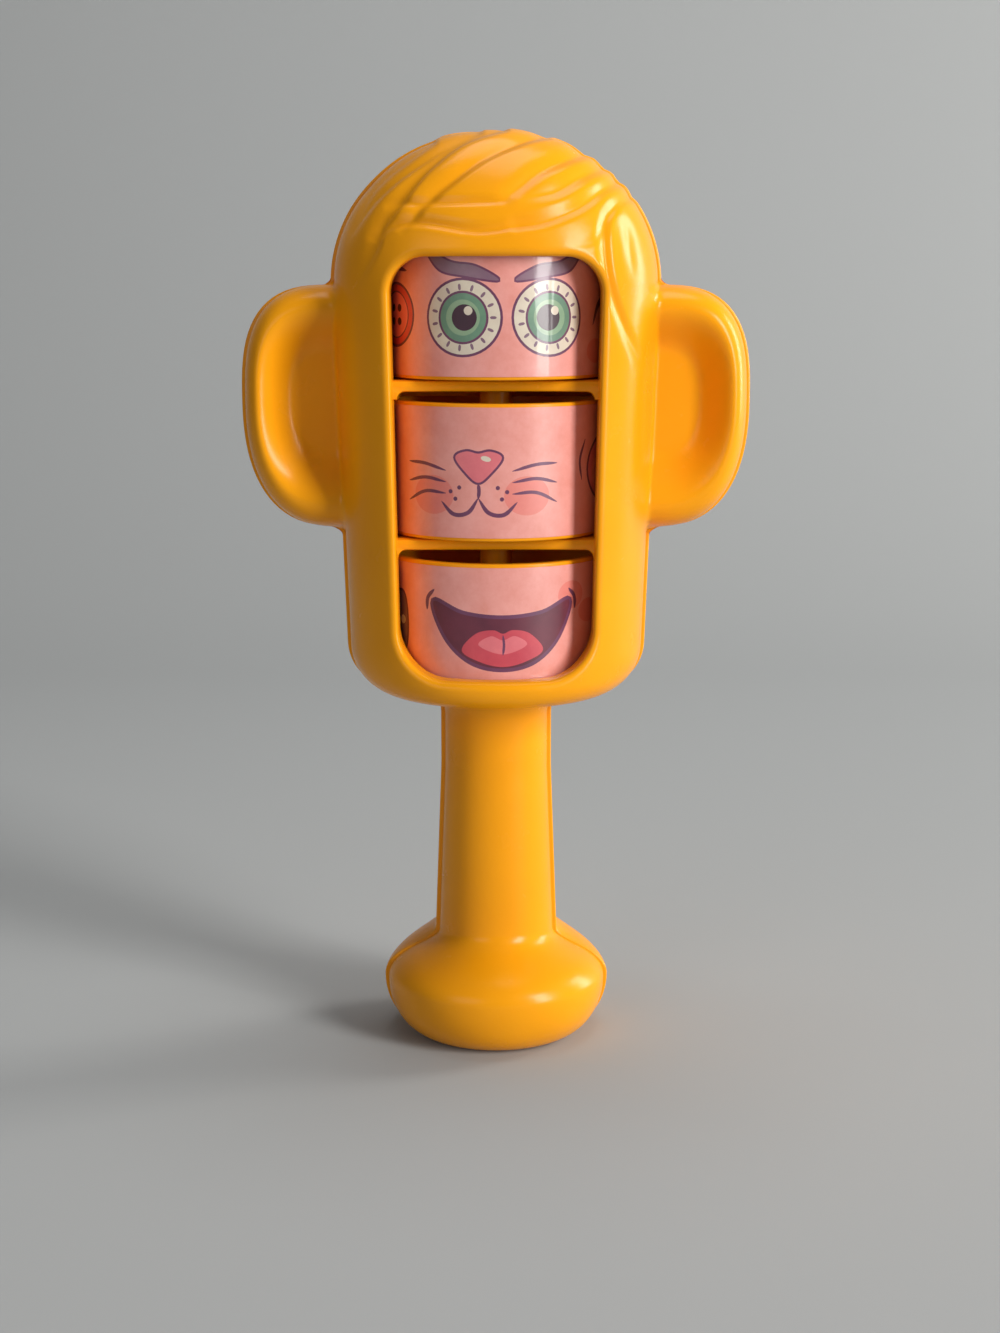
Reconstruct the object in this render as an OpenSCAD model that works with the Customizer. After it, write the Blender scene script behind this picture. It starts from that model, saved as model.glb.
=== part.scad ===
// Rotating face puzzle rattle: a two-shell head on a round handle and foot, with three drums that turn on an
// upright axle behind a window.
// Units are millimetres. Z is up, the window faces -Y, and the origin is the middle of the foot's base.

/* [Drums] */
// Outer diameter of each drum without its label
drum_d = 43.2; // [38:0.2:46]
// Height of each drum
drum_h = 26.6; // [22:0.2:30]
// Wall of each drum
drum_wall = 1.8; // [1.2:0.1:2.6]
// Thickness of each drum's web
drum_web = 2; // [1.4:0.1:3]
// Outer diameter of each drum's hub
hub_d = 11; // [10:0.2:14]
// Height of each drum's hub
hub_h = 16; // [8:0.5:21]
// Open space above each drum
drum_play = 1.9; // [1:0.1:3]

/* [Labels] */
// Height of the printed wraps
label_h = 25.2; // [18:0.1:25.4]
// Thickness of the printed wraps
label_t = 0.2; // [0.1:0.05:0.4]

/* [Axle] */
// Diameter of the axle
axle_d = 6.5; // [4:0.1:8]
// Depth of the axle's seat in the neck
axle_seat = 6.4; // [4:0.2:8]

/* [Head] */
// Thickness of the two shelves between the drums
shelf_t = 2.2; // [1.4:0.1:3]
// Distance of the shelves' front edge from the axle's middle
shelf_front = 15; // [12:0.5:17]
// Thickness of the head's floor
floor_t = 1.7; // [1.4:0.1:2.6]
// Wall of both shells
wall = 2.2; // [1.6:0.1:2.6]
// Wall in front of and behind the drums
depth_wall = 3.6; // [3:0.1:5]
// Room beside the drums at the foot of the head
side_low = 7.8; // [6:0.2:10]
// Room beside the drums at the temples
side_high = 10.6; // [10:0.2:13]
// Height of the dome
dome_h = 30.1; // [26:0.1:34]
// How far the dome begins below the ceiling
dome_drop = 10.2; // [8:0.2:12]
// Rounding of the head's lower edge at the sides
corner_side = 9.5; // [7:0.5:12]
// Rounding of the head's lower edge in front
corner_front = 5; // [4:0.5:7]
// How far the rear shell's rim stands proud at the seam
seam_step = 0.8; // [0.2:0.1:0.8]

/* [Window] */
// How far the window is narrower than the label at each side, at the top
window_cover_top = 2.2; // [1.6:0.1:4]
// How far the window is narrower than the label at each side, at the bottom
window_cover_low = 3.5; // [2:0.1:5]
// Height of the sill
sill_h = 6; // [5:0.2:8]
// How far the window's top is below the ceiling
window_drop = 5.2; // [4:0.2:7]
// Radius of the window's top corners
window_r_top = 7; // [4:0.5:9]
// Radius of the window's bottom corners
window_r_low = 9.5; // [6:0.5:11]
// Wall of the flange that runs inward round the window
flange_t = 2; // [1.4:0.1:2.4]
// Radius of the window's lip
lip_r = 1.8; // [1:0.1:2]

/* [Hair] */
// Depth of the grooves between the strands of hair
strand_depth = 0.8; // [0.4:0.1:1]
// Width of each groove's wide flank
strand_wide = 2.4; // [1.6:0.1:3]
// Width of each groove's steep flank
strand_steep = 1.4; // [1:0.1:2]

/* [Ears] */
// How far each ear stands out from the temples
ear_reach = 18.2; // [14:0.2:21]
// Height of the ears' widest point above the head's floor
ear_mid = 58.1; // [54:0.5:60]
// Height of the ears above their widest point
ear_up = 22.2; // [18:0.2:23]
// Height of the ears below their widest point
ear_down = 26.2; // [20:0.2:28]
// Depth of the ears' cup floor in front of the seam
cup_t = 2.6; // [2.4:0.1:4]
// Height of the rolled rim over the cup floor
rim_t = 5.2; // [3:0.1:6]
// Thickness of the ears behind the seam
ear_back = 5.4; // [4:0.1:7]
// Fillet between ears and head
ear_blend = 5; // [4:0.5:8]

/* [Handle and foot] */
// Length of the handle from the foot's top to the head
handle_l = 53.3; // [46:0.1:70]
// Diameter of the handle at the head
handle_d_top = 22.8; // [22:0.2:26]
// Diameter of the handle at the foot
handle_d_low = 25.6; // [24:0.2:28]
// Diameter of the foot
foot_d = 47; // [42:0.2:54]
// Height of the foot
foot_h = 19.9; // [16:0.1:22]
// Height of the foot's widest ring
foot_mid = 11.3; // [8.5:0.1:12]
// Diameter of the flat that the foot rests on
base_d = 30; // [20:0.5:32]
// Fillet between foot and handle at the seam
foot_blend = 5; // [3:0.5:8]
// Fillet between foot and handle at the front and the back
foot_blend_mid = 10; // [5:0.5:11]
// How much higher the foot meets the handle at the back
foot_rise = 4; // [0:0.2:4.4]
// Fillet between handle and head
neck_blend = 5; // [1:0.1:6]

/* [Beads] */
// Diameter of the rattling beads
bead_d = 5; // [4:0.1:5.2]

/* [Fits] */
// Radial clearance between hub and axle
hub_clear = 0.08; // [0.03:0.01:0.1]
// Radial clearance between axle and shells
seat_clear = 0.03; // [0.02:0.01:0.06]
// Gap under each drum
drum_gap = 0.3; // [0.2:0.05:0.5]
// Gap round each label
well_gap = 0.6; // [0.4:0.05:1]

/* [Hidden] */
drum_r = drum_d / 2;
glue = 0.02;
label_r = drum_r + glue + label_t;
well_r = label_r + well_gap;
axle_r = axle_d / 2;
head_z = foot_h + handle_l;
floor_z = head_z + floor_t;
pitch = drum_gap + drum_h + drum_play + shelf_t;
ceiling_z = floor_z + 3 * pitch - shelf_t;
ceiling_t = 2.2;
dome_z = ceiling_z - dome_drop;
total_h = dome_z + dome_h;
half_d = well_r + depth_wall;
half_w_low = well_r + side_low;
half_w_top = well_r + side_high;
plan_n = 2.15;
row_gap = 6;
row_end = 4;
cavity_from = 12;
cavity_gap = 14;
chamber_end = 8;
ear_z = floor_z + ear_mid;
ear_x = half_w_top;
ear_n_up = 2.8;
ear_n_down = 2.45;
ear_round = 3.6;
ear_edge = 1.6;
seam_blend = 5;
sill_z = head_z + sill_h;
window_top = ceiling_z - window_drop;
window_w_top = label_r - window_cover_top;
window_w_low = label_r - window_cover_low;
well_depth = 6;
axle_z = floor_z - axle_seat;
axle_end = ceiling_z + ceiling_t + 2.6;
boss_r = axle_r + 2.4;
plug_z = axle_z - 2.2;
pin_r = 1.5;
pin_l = 3;
pin_clear = 0.05;
pin_x = ear_x + ear_reach * 0.45;
bead_gap = 0.3;
handle_fn = 72;
grip_steps = 24;
foot_n = 2.2;
ear_steps = 13;
face_steps = 24;
back_steps = 16;
fan_steps = 22;

plastic = [0.95, 0.62, 0.06];
pink = [0.9, 0.6, 0.56];
steel = [0.75, 0.75, 0.72];

// Helpers

function lerp(a, b, t) = a + (b - a) * t;
function unit(t) = min(max(t, 0), 1);
function smax(a, b, k) = max(a, b) + pow(max(k - abs(a - b), 0), 2) / (4 * k);
function quarter(d, r) = d >= r ? 1 : sqrt(max(1 - pow(1 - max(d, 0) / r, 2), 0));

function sorted(v) = len(v) < 2 ? v : let (
  m = v[floor(len(v) / 2)],
  low = [for (e = v) if (e < m) e],
  same = [for (e = v) if (e == m) e],
  high = [for (e = v) if (e > m) e]
) concat(sorted(low), same, sorted(high));
function spaced(v, gap) = [for (i = 0, last = v[0] - gap * 2; i < len(v);
  last = v[i] - last >= gap ? v[i] : last, i = i + 1) if (v[i] - last >= gap) v[i]];

// Head skin: half width, half depth and the ears' outline at each height

function corner(z, r) = let (d = head_z + r - z) d <= 0 ? 0 : r - sqrt(max(r * r - d * d, 0));
function dome(z) = z <= dome_z ? 1 : sqrt(max(1 - pow((z - dome_z) / dome_h, 2), 0));
function half_w(z) = z > dome_z ? half_w_top * dome(z)
  : lerp(half_w_low, half_w_top, (z - head_z) / (dome_z - head_z)) - corner(z, corner_side);
function half_y(z) = z > dome_z ? half_d * dome(z) : half_d - corner(z, corner_front);

function ear_n(z) = z > ear_z ? ear_n_up : ear_n_down;
function ear_w(z) = abs(z - ear_z) / (z > ear_z ? ear_up : ear_down);
function ear_tip(z) = let (w = ear_w(z), n = ear_n(z)) w < 1
  ? ear_x + ear_reach * pow(1 - pow(w, n), 1 / n)
  : ear_x - 4 * (w - 1) * (z > ear_z ? ear_up : ear_down);
function ear_rho(x, z) = let (u = max(x - ear_x, 0) / ear_reach, w = ear_w(z), n = ear_n(z))
  pow(pow(u, n) + pow(w, n), 1 / n);
function tip(z, step) = smax(half_w(z), ear_tip(z), seam_blend) - step;

// Cross section of the rolled rim, from the cup (0) over the roll to the ear's edge (1)
rim_from = 0.4;
rim_to = 0.8;
function rim(rho) = (1 - cos(180 * unit((rho - rim_from) / (rim_to - rim_from)))) / 2;

function head_depth(x, z, step) = let (a = half_w(z) - step, u = x / a)
  u < 1 ? half_y(z) * pow(1 - pow(u, plan_n), 1 / plan_n) : -2 * (x - a);
function ear_inside(x, z, r) = quarter((1 - ear_rho(x, z)) * ear_reach, r);
function ear_web(x, z, step) = ear_edge * quarter(tip(z, step) - x, ear_edge);
function ear_front(x, z, step) = max(ear_web(x, z, step),
  (cup_t + rim_t * rim(ear_rho(x, z))) * ear_inside(x + step, z, ear_round));
function ear_rear(x, z) = max(ear_web(x, z, 0), ear_back * ear_inside(x, z, ear_round * 1.8));
function ear_here(z) = unit((tip(z, 0) - half_w(z)) / 1.2);
function with_ear(head, ear, z) = smax(head, lerp(-ear_blend, ear, ear_here(z)),
  lerp(0.5, ear_blend, ear_here(z)));
function least(x, z, step) = (tip(z, step) - x) * 0.2;
function front_depth(x, z) = max(least(x, z, seam_step),
  with_ear(head_depth(x, z, seam_step), ear_front(x, z, seam_step), z));
function rear_depth(x, z) = max(least(x, z, 0), with_ear(head_depth(x, z, 0), ear_rear(x, z), z));

// Rows of the skin, each given by its height on the face and its height at the seam. Over the ears the rows
// fan out, so that they follow the ears' edge.

ear_low = ear_z - ear_down;
ear_high = ear_z + ear_up;
function plain(zs) = [for (z = spaced(sorted(zs), 0.34)) [z, z]];
low_rows = plain([for (z = concat(
  [for (t = [0:15:90]) head_z + corner_side * (1 - cos(t))],
  [for (t = [0:30:60]) head_z + corner_front * (1 - cos(t))],
  [for (z = [head_z + corner_side + row_gap:row_gap:ear_low - row_end]) z],
  [ear_low - 2.4, ear_low - 1.3, ear_low - 0.5]
)) if (z < ear_low - 0.3) z]);
fan_rows = [for (j = [0:fan_steps]) let (t = j / fan_steps, c = sin(180 * t - 90))
  [lerp(ear_low, ear_high, t),
    ear_z + (c > 0 ? ear_up * pow(c, 2 / ear_n_up) : -ear_down * pow(-c, 2 / ear_n_down))]];
top_rows = plain([for (z = concat(
  [ear_high + 0.5, ear_high + 1.3, ear_high + 2.4],
  [for (t = [10:7.5:78]) dome_z + dome_h * sin(t)]
)) if (z > ear_high + 0.3) z]);
rows = concat(low_rows, fan_rows, top_rows);

// Places along a row: the same ones over the face at each height, and then out over the ear to the seam
function side_x(z, step) = 0.975 * (half_w(z) - step);
function ear_places(row, step) = [for (i = [0:ear_steps - 1]) let (t = (1 + cos(180 * i / ear_steps)) / 2)
  [lerp(side_x(row[0], step), tip(row[1], step), t), lerp(row[0], row[1], t)]];
function places(row, step, steps) = let (e = ear_places(row, step)) concat(e,
  [for (i = [0:steps]) [side_x(row[0], step) * cos(180 * i / steps), row[0]]],
  [for (i = [ear_steps - 1:-1:0]) [-e[i][0], e[i][1]]]);
function front_ring(row) = let (ps = places(row, seam_step, face_steps), n = len(ps) - 1)
  [for (i = [0:n]) [ps[i][0], i == 0 || i == n ? 0 : front_depth(abs(ps[i][0]), ps[i][1]), ps[i][1]]];
function rear_ring(row) = let (ps = places(row, 0, back_steps), n = len(ps) - 1)
  [for (i = [0:n]) [ps[i][0], i == 0 || i == n ? 0 : rear_depth(abs(ps[i][0]), ps[i][1]), ps[i][1]]];

// Cavity of the head: the skin without ears, one wall inside it
cavity_rows = sorted(concat(
  [floor_z],
  [for (t = [36:18:90]) head_z + corner_side * (1 - cos(t))],
  [for (z = [head_z + corner_side + cavity_from:cavity_gap:dome_z - row_end]) z],
  [for (t = [0:12:78]) dome_z + (dome_h - wall) * sin(t)]
));
cavity_steps = 24;
function cavity_dome(z) = z <= dome_z ? 1 : sqrt(max(1 - pow((z - dome_z) / (dome_h - wall), 2), 0));
function cavity_w(z) = z > dome_z ? (half_w_top - wall) * cavity_dome(z) : half_w(z) - wall;
function cavity_y(z) = z > dome_z ? (half_d - wall) * cavity_dome(z) : max(half_y(z) - wall, well_r);
function cavity_ring(z) = [for (i = [0:cavity_steps])
  let (c = cos(180 * i / cavity_steps), end = i == 0 || i == cavity_steps)
  [cavity_w(z) * c, end ? -1 : cavity_y(z) * pow(1 - pow(abs(c), plan_n), 1 / plan_n), z]];

// A solid between the XZ plane and a skin given as rings of points from right to left
module half_loft(lines, top) {
  n = len(lines[0]);
  m = len(lines);
  peak = n * m;
  points = concat([for (r = lines) each r], [top]);
  sides = [for (j = [0:m - 2], i = [0:n - 2]) each [
    [j * n + i, (j + 1) * n + i, (j + 1) * n + i + 1],
    [j * n + i, (j + 1) * n + i + 1, j * n + i + 1]]];
  back = [for (j = [0:m - 2]) each [
    [j * n, j * n + n - 1, (j + 1) * n + n - 1],
    [j * n, (j + 1) * n + n - 1, (j + 1) * n]]];
  cap = [for (i = [0:n - 2]) [(m - 1) * n + i, peak, (m - 1) * n + i + 1]];
  polyhedron(points, concat(sides, back, cap,
    [[(m - 1) * n, (m - 1) * n + n - 1, peak]],
    [[for (i = [0:n - 1]) i]]), convexity = 8);
}

// Hair: V grooves along strands. Each strand begins with its depth at both ends, and its points stand in
// shares of the dome's half width and height.
crown_strands = [
  [0.7, 0.8, [-0.5, 0.83], [-0.7, 0.66], [-0.82, 0.49], [-0.89, 0.32]],
  [0.6, 1, [-0.17, 0.97], [-0.42, 0.81], [-0.61, 0.64], [-0.81, 0.38]],
  [0.6, 1, [0.06, 0.98], [-0.21, 0.9], [-0.36, 0.76], [-0.56, 0.53]],
  [0.6, 1, [0.22, 0.93], [0.02, 0.86], [-0.18, 0.73], [-0.39, 0.53]],
  [0.7, 0.9, [0.5, 0.85], [0.35, 0.76], [0.2, 0.66], [0, 0.49]],
  [0.7, 0.9, [0.62, 0.74], [0.44, 0.66], [0.2, 0.54], [0.04, 0.5]]];
fringe_strands = [
  [0.8, 1, [0.73, 0.62], [0.41, 0.47], [0.1, 0.35], [-0.2, 0.345], [-0.42, 0.39], [-0.63, 0.34]],
  [1, 1, [0.05, 0.5], [-0.29, 0.52], [-0.61, 0.5]]];
lock_strands = [
  [1, 0.9, [0.66, 0.42], [0.65, 0.26], [0.71, -0.05], [0.85, -0.4]],
  [0.7, 0.7, [0.74, 0.43], [0.76, 0.15], [0.79, -0.02], [0.83, -0.19]],
  [0.7, 0.6, [-0.68, 0.35], [-0.71, 0.22], [-0.77, 0.1], [-0.85, -0.08]]];
strands = concat(crown_strands, fringe_strands, lock_strands);
strand_steps = 3;
strand_reach = 1.6;
function knot(p, i) = i < 0 ? 2 * p[0] - p[1] : i >= len(p) ? 2 * p[len(p) - 1] - p[len(p) - 2] : p[i];
function between(a, b, c, d, t) = 0.5 * (2 * b + (c - a) * t + (2 * a - 5 * b + 4 * c - d) * t * t
  + (3 * b - a - 3 * c + d) * t * t * t);
function curve(p) = concat([for (i = [0:len(p) - 2], j = [0:strand_steps - 1])
  between(knot(p, i - 1), p[i], p[i + 1], knot(p, i + 2), j / strand_steps)], [p[len(p) - 1]]);
function skin(x, z) = [x, front_depth(abs(x), z), z];
function outward(p) = let (e = 0.2, a = skin(p[0] + e, p[1]) - skin(p[0] - e, p[1]),
  b = skin(p[0], p[1] + e) - skin(p[0], p[1] - e), n = cross(b, a)) n / norm(n);
function strand_line(s) = [for (p = curve([for (i = [2:len(s) - 1]) s[i]]))
  [p[0] * half_w_top, dome_z + p[1] * dome_h]];
function strand_fade(t) = min(1, 0.4 + t * 5, 0.3 + (1 - t) * 4);
function strand_ring(line, i, from, to) = let (
  last = len(line) - 1,
  a = line[max(i - 1, 0)],
  b = line[min(i + 1, last)],
  run = skin(b[0], b[1]) - skin(a[0], a[1]),
  n = outward(line[i]),
  side = cross(n, run) / norm(cross(n, run)),
  share = lerp(from, to, i / last) * strand_fade(i / last),
  p = skin(line[i][0], line[i][1]),
  lift = n * strand_depth * share * (strand_reach - 1)
) [p - n * strand_depth * share,
  p + side * strand_wide * share * strand_reach + lift,
  p - side * strand_steep * share * strand_reach + lift];

module strand_cut(s) {
  line = strand_line(s);
  m = len(line);
  sides = [for (j = [0:m - 2], i = [0:2]) let (k = (i + 1) % 3) each [
    [j * 3 + i, j * 3 + 3 + k, j * 3 + k],
    [j * 3 + i, j * 3 + 3 + i, j * 3 + 3 + k]]];
  polyhedron([for (i = [0:m - 1]) each strand_ring(line, i, s[0], s[1])],
    concat(sides, [[0, 1, 2], [m * 3 - 1, m * 3 - 2, m * 3 - 3]]), convexity = 6);
}

// Handle and foot: radius at each height and turn from the seam. From the seam to the middle of each half
// the fillet grows, and behind the seam the foot's top rises.

function foot_soft(turn) = lerp(foot_blend, foot_blend_mid, pow(sin(turn), 2));
function foot_r(z, top) = z < foot_mid
  ? lerp(base_d / 2, foot_d / 2, sqrt(max(1 - pow(1 - z / foot_mid, 2), 0)))
  : z < top ? lerp(foot_d / 2, handle_d_low / 2, pow((z - foot_mid) / (top - foot_mid), foot_n))
  : handle_d_low / 2 - 4 * (z - top);
function handle_r(z) = lerp(handle_d_low / 2, handle_d_top / 2, unit((z - foot_h) / (handle_l * 0.7)));
function neck(z) = let (d = z - (head_z - neck_blend)) d <= 0 ? 0
  : neck_blend - sqrt(max(neck_blend * neck_blend - d * d, 0));
function grip_r(z, turn, rise) = let (foot = foot_r(z, foot_h + rise * sin(turn)))
  z < foot_mid ? foot : smax(foot, handle_r(z), foot_soft(turn)) + neck(z);
function grip_rows(top) = spaced(sorted(concat(
  [for (t = [0:18:90]) foot_mid * (1 - cos(t))],
  [for (i = [1:9]) lerp(foot_mid, top, i / 9)],
  [top + 0.9, top + 2, top + 4],
  [foot_h + handle_l * 0.7],
  [for (t = [0:22.5:90]) head_z - neck_blend * (1 - sin(t))],
  [floor_z - 0.4]
)), 0.1);
function grip_ring(z, step, rise) = [for (i = [0:grip_steps]) let (
  turn = 180 * i / grip_steps,
  r = grip_r(min(z, head_z), turn, rise) - step,
  end = i == 0 || i == grip_steps
) [r * cos(turn), end ? 0 : r * sin(turn), z]];
chamber_rows = spaced(sorted(concat(
  [wall, foot_mid * 0.5, foot_mid, foot_mid * 1.3, foot_h - 0.6, foot_h + 1.6, foot_h + 6],
  [for (z = [foot_h + cavity_gap:cavity_gap:plug_z - chamber_end]) z],
  [plug_z]
)), 0.2);

module grip_half(step, rise) {
  half_loft([for (z = grip_rows(foot_h + rise)) grip_ring(z, step, rise)], [0, 0, floor_z - 0.2]);
}

module chamber() {
  rotate_extrude($fn = handle_fn)
    polygon(concat([[0, wall]],
      [for (z = chamber_rows) [grip_r(z, 0, 0) - seam_step - wall, z]],
      [[0, plug_z]]));
}

// Window in the XZ plane, wider at the top, with rounded corners

function arc(cx, cz, r, from, to) = [for (t = [from:15:to]) [cx + r * cos(t), cz + r * sin(t)]];
function run(from, to, steps) = [for (i = [1:steps - 1]) lerp(from, to, i / steps)];
function corners(grow) = let (
  wt = window_w_top + grow,
  wl = window_w_low + grow,
  rt = window_r_top + grow,
  rl = window_r_low + grow
) [
  arc(wt - rt, window_top + grow - rt, rt, 0, 90),
  arc(rt - wt, window_top + grow - rt, rt, 90, 180),
  arc(rl - wl, sill_z - grow + rl, rl, 180, 270),
  arc(wl - rl, sill_z - grow + rl, rl, 270, 360)];
run_steps = [6, 9, 5, 9];
function outline(grow) = let (c = corners(grow), last = len(c[0]) - 1)
  [for (i = [0:3]) each concat(c[i], run(c[i][last], c[(i + 1) % 4][0], run_steps[i]))];

// The window's lip: a flare that starts inside the opening, rounds its edge and ends clear of the skin
lip_start = [-0.5, -1.6];
lip_end = [1.08, 0.2];
lip_stages = concat([lip_start], [for (t = [30:15:60]) [1 - cos(t), sin(t) - 1]], [lip_end]);
function lip_ring(stage) = [for (p = outline(lip_r * stage[0]))
  [p[0], front_depth(abs(p[0]), p[1]) + lip_r * stage[1], p[1]]];
function flat_ring(grow, y) = [for (p = outline(grow)) [p[0], y, p[1]]];

module lip_cut() {
  rings = concat([flat_ring(lip_r * lip_start[0], shelf_front + 0.5)], [for (e = lip_stages) lip_ring(e)],
    [flat_ring(lip_r * lip_end[0], half_d * 1.5)]);
  n = len(rings[0]);
  m = len(rings);
  sides = [for (j = [0:m - 2], i = [0:n - 1]) let (k = (i + 1) % n) each [
    [j * n + i, j * n + k, (j + 1) * n + k],
    [j * n + i, (j + 1) * n + k, (j + 1) * n + i]]];
  mirror([0, 1, 0])
    polyhedron([for (r = rings) each r], concat(sides,
      [[for (i = [n - 1:-1:0]) i]],
      [[for (i = [0:n - 1]) (m - 1) * n + i]]), convexity = 6);
}

module window_shape(grow) {
  polygon([for (c = corners(grow)) each c]);
}

module toward_front(from, depth) {
  translate([0, -from, 0])
    rotate([90, 0, 0])
      linear_extrude(depth)
        children();
}

// Slabs for the two shelves, from a distance in front of the axle's middle
module shelves(front) {
  for (i = [1, 2])
    translate([-half_w_top, -front, floor_z + i * pitch - shelf_t])
      cube([half_w_top * 2, front + half_d * 2, shelf_t]);
}

// The window, which leaves the shelves standing
module window_cut() {
  difference() {
    toward_front(well_depth, half_d)
      window_shape(0);
    shelves(shelf_front);
  }
}

// Shelves and ceiling, which stand across the whole cavity
module decks() {
  shelves(half_d * 2);
  translate([-half_w_top, -half_d * 2, ceiling_z])
    cube([half_w_top * 2, half_d * 4, ceiling_t]);
  translate([0, 0, ceiling_z + ceiling_t / 2])
    cylinder(h = axle_end + 1.6 - ceiling_z - ceiling_t / 2, r = boss_r, $fn = 48);
}

module flange() {
  difference() {
    toward_front(well_depth, half_d)
      window_shape(flange_t);
    translate([0, 0, floor_z - 1])
      cylinder(h = ceiling_z + 2 - floor_z, r = well_r, $fn = 96);
  }
}

module axle_bore() {
  translate([0, 0, axle_z])
    cylinder(h = axle_end - axle_z, r = axle_r + seat_clear, $fn = 48);
}

module pins(r, reach) {
  for (x = [-pin_x, pin_x])
    translate([x, 1, ear_z])
      rotate([90, 0, 0])
        cylinder(h = 1 + reach, r = r, $fn = 32);
}

// Parts

module front_shell() {
  color(plastic)
    difference() {
      union() {
        mirror([0, 1, 0])
          half_loft([for (r = rows) front_ring(r)], [0, 0, total_h]);
        mirror([0, 1, 0])
          grip_half(seam_step, 0);
      }
      mirror([0, 1, 0])
        difference() {
          half_loft([for (z = cavity_rows) cavity_ring(z)], [0, 0, total_h - wall]);
          mirror([0, 1, 0])
            flange();
          decks();
        }
      window_cut();
      lip_cut();
      mirror([0, 1, 0])
        for (s = strands)
          strand_cut(s);
      chamber();
      axle_bore();
      pins(pin_r + pin_clear, pin_l * 0.6 + 0.2);
    }
}

module rear_shell() {
  color(plastic) {
    difference() {
      union() {
        half_loft([for (r = rows) rear_ring(r)], [0, 0, total_h]);
        grip_half(0, foot_rise);
        pins(pin_r, pin_l * 0.6);
      }
      difference() {
        half_loft([for (z = cavity_rows) cavity_ring(z)], [0, 0, total_h - wall]);
        decks();
      }
      chamber();
      axle_bore();
    }
  }
}

module axle() {
  color(plastic)
    translate([0, 0, axle_z + drum_gap / 3])
      cylinder(h = axle_end - axle_z - drum_gap, r = axle_r, $fn = 48);
}

// One drum above its shelf, open at the top, with web and hub
module drum(i) {
  color(plastic)
    translate([0, 0, floor_z + i * pitch + drum_gap])
      rotate_extrude($fn = 96)
        polygon([
          [axle_r + hub_clear, 0],
          [drum_r, 0],
          [drum_r, drum_h],
          [drum_r - drum_wall, drum_h],
          [drum_r - drum_wall, drum_web],
          [hub_d / 2, drum_web],
          [hub_d / 2, hub_h],
          [axle_r + hub_clear, hub_h]]);
}

module label(i) {
  color(pink)
    translate([0, 0, floor_z + i * pitch + drum_gap + (drum_h - label_h) / 2])
      difference() {
        cylinder(h = label_h, r = label_r, $fn = 96);
        translate([0, 0, -1])
          cylinder(h = label_h + 2, r = drum_r + glue, $fn = 96);
      }
}

module eye_drum() {
  drum(2);
}

module nose_drum() {
  drum(1);
}

module mouth_drum() {
  drum(0);
}

module eye_label() {
  label(2);
}

module nose_label() {
  label(1);
}

module mouth_label() {
  label(0);
}

module rattle_beads() {
  color(steel)
    translate([0, 0, wall + bead_d / 2 + 0.1]) {
      sphere(d = bead_d, $fn = 24);
      for (i = [0:5])
        rotate([0, 0, i * 60])
          translate([bead_d + bead_gap, 0, 0])
            sphere(d = bead_d, $fn = 24);
    }
}

front_shell();
rear_shell();
axle();
eye_drum();
nose_drum();
mouth_drum();
eye_label();
nose_label();
mouth_label();
rattle_beads();
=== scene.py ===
"""Looks of the rotating face puzzle rattle: moulded shells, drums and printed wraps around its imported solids.

Lengths are millimetres and are scaled to metres where a mesh is made. Z is up and the window faces -Y.
"""
import math

import bmesh
import bpy
import numpy as np
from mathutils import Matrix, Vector
from mathutils.geometry import delaunay_2d_cdt


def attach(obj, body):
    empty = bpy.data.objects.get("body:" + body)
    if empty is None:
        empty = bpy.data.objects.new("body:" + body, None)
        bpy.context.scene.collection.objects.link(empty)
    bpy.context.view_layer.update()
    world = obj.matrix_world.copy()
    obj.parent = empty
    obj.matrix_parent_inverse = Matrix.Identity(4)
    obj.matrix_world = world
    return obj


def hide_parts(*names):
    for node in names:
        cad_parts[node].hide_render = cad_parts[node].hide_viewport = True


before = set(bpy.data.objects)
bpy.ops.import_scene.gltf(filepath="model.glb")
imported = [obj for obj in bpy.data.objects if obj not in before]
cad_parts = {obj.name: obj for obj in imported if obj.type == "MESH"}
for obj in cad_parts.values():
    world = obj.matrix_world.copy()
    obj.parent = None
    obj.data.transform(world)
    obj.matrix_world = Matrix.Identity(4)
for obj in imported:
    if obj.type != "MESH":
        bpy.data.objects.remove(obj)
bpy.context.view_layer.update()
MM = 0.001

# Drums, their wraps and the axle they turn on
DRUM_R = 21.6
DRUM_H = 26.6
DRUM_WALL = 1.8
DRUM_WEB = 2.0
DRUM_EDGE = 0.45
DRUM_GAP = 0.3
DRUM_PLAY = 1.9
GLUE = 0.02
FILM_T = 0.2
FILM_BACK = DRUM_R + GLUE
FILM_R = FILM_BACK + FILM_T
FILM_H = 25.2
HUB_R = 5.5
HUB_H = 16.0
HUB_CLEAR = 0.08
AXLE_R = 3.25
AXLE_EDGE = 0.6
AXLE_SEAT = 6.3
AXLE_OVER = 4.6
BORE_R = AXLE_R + HUB_CLEAR

# Shelves between the drums: the edge is given as pairs of setback from the front and inset there
SHELF_T = 2.2
SHELF_FRONT = 15.0
SHELF_EDGE = [(0.7, 0), (0.2, 0.2), (0, 0.65)]
SHELF_FILLET = 1.6
SHELF_TUCK = 0.4
FILLET_TUCK = 0.2
SHELF_BACK_GAP = 0.2
SHELF_BACK_TUCK = 0.3
PITCH = DRUM_GAP + DRUM_H + DRUM_PLAY + SHELF_T

# Handle and foot
HANDLE_L = 53.3
HANDLE_R_TOP = 11.4
HANDLE_R_LOW = 12.8
HANDLE_TAPER = 0.7
FOOT_R = 23.5
FOOT_H = 19.9
FOOT_MID = 11.3
FOOT_RISE = 4.0
FOOT_BLEND = 5.0
FOOT_BLEND_MID = 10.0
FOOT_FLARE = 7.0
FOOT_POWER = 2.2
BASE_R = 15.0
BASE_RINGS = (0.66, 0.33)
NECK_BLEND = 5.0

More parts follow.
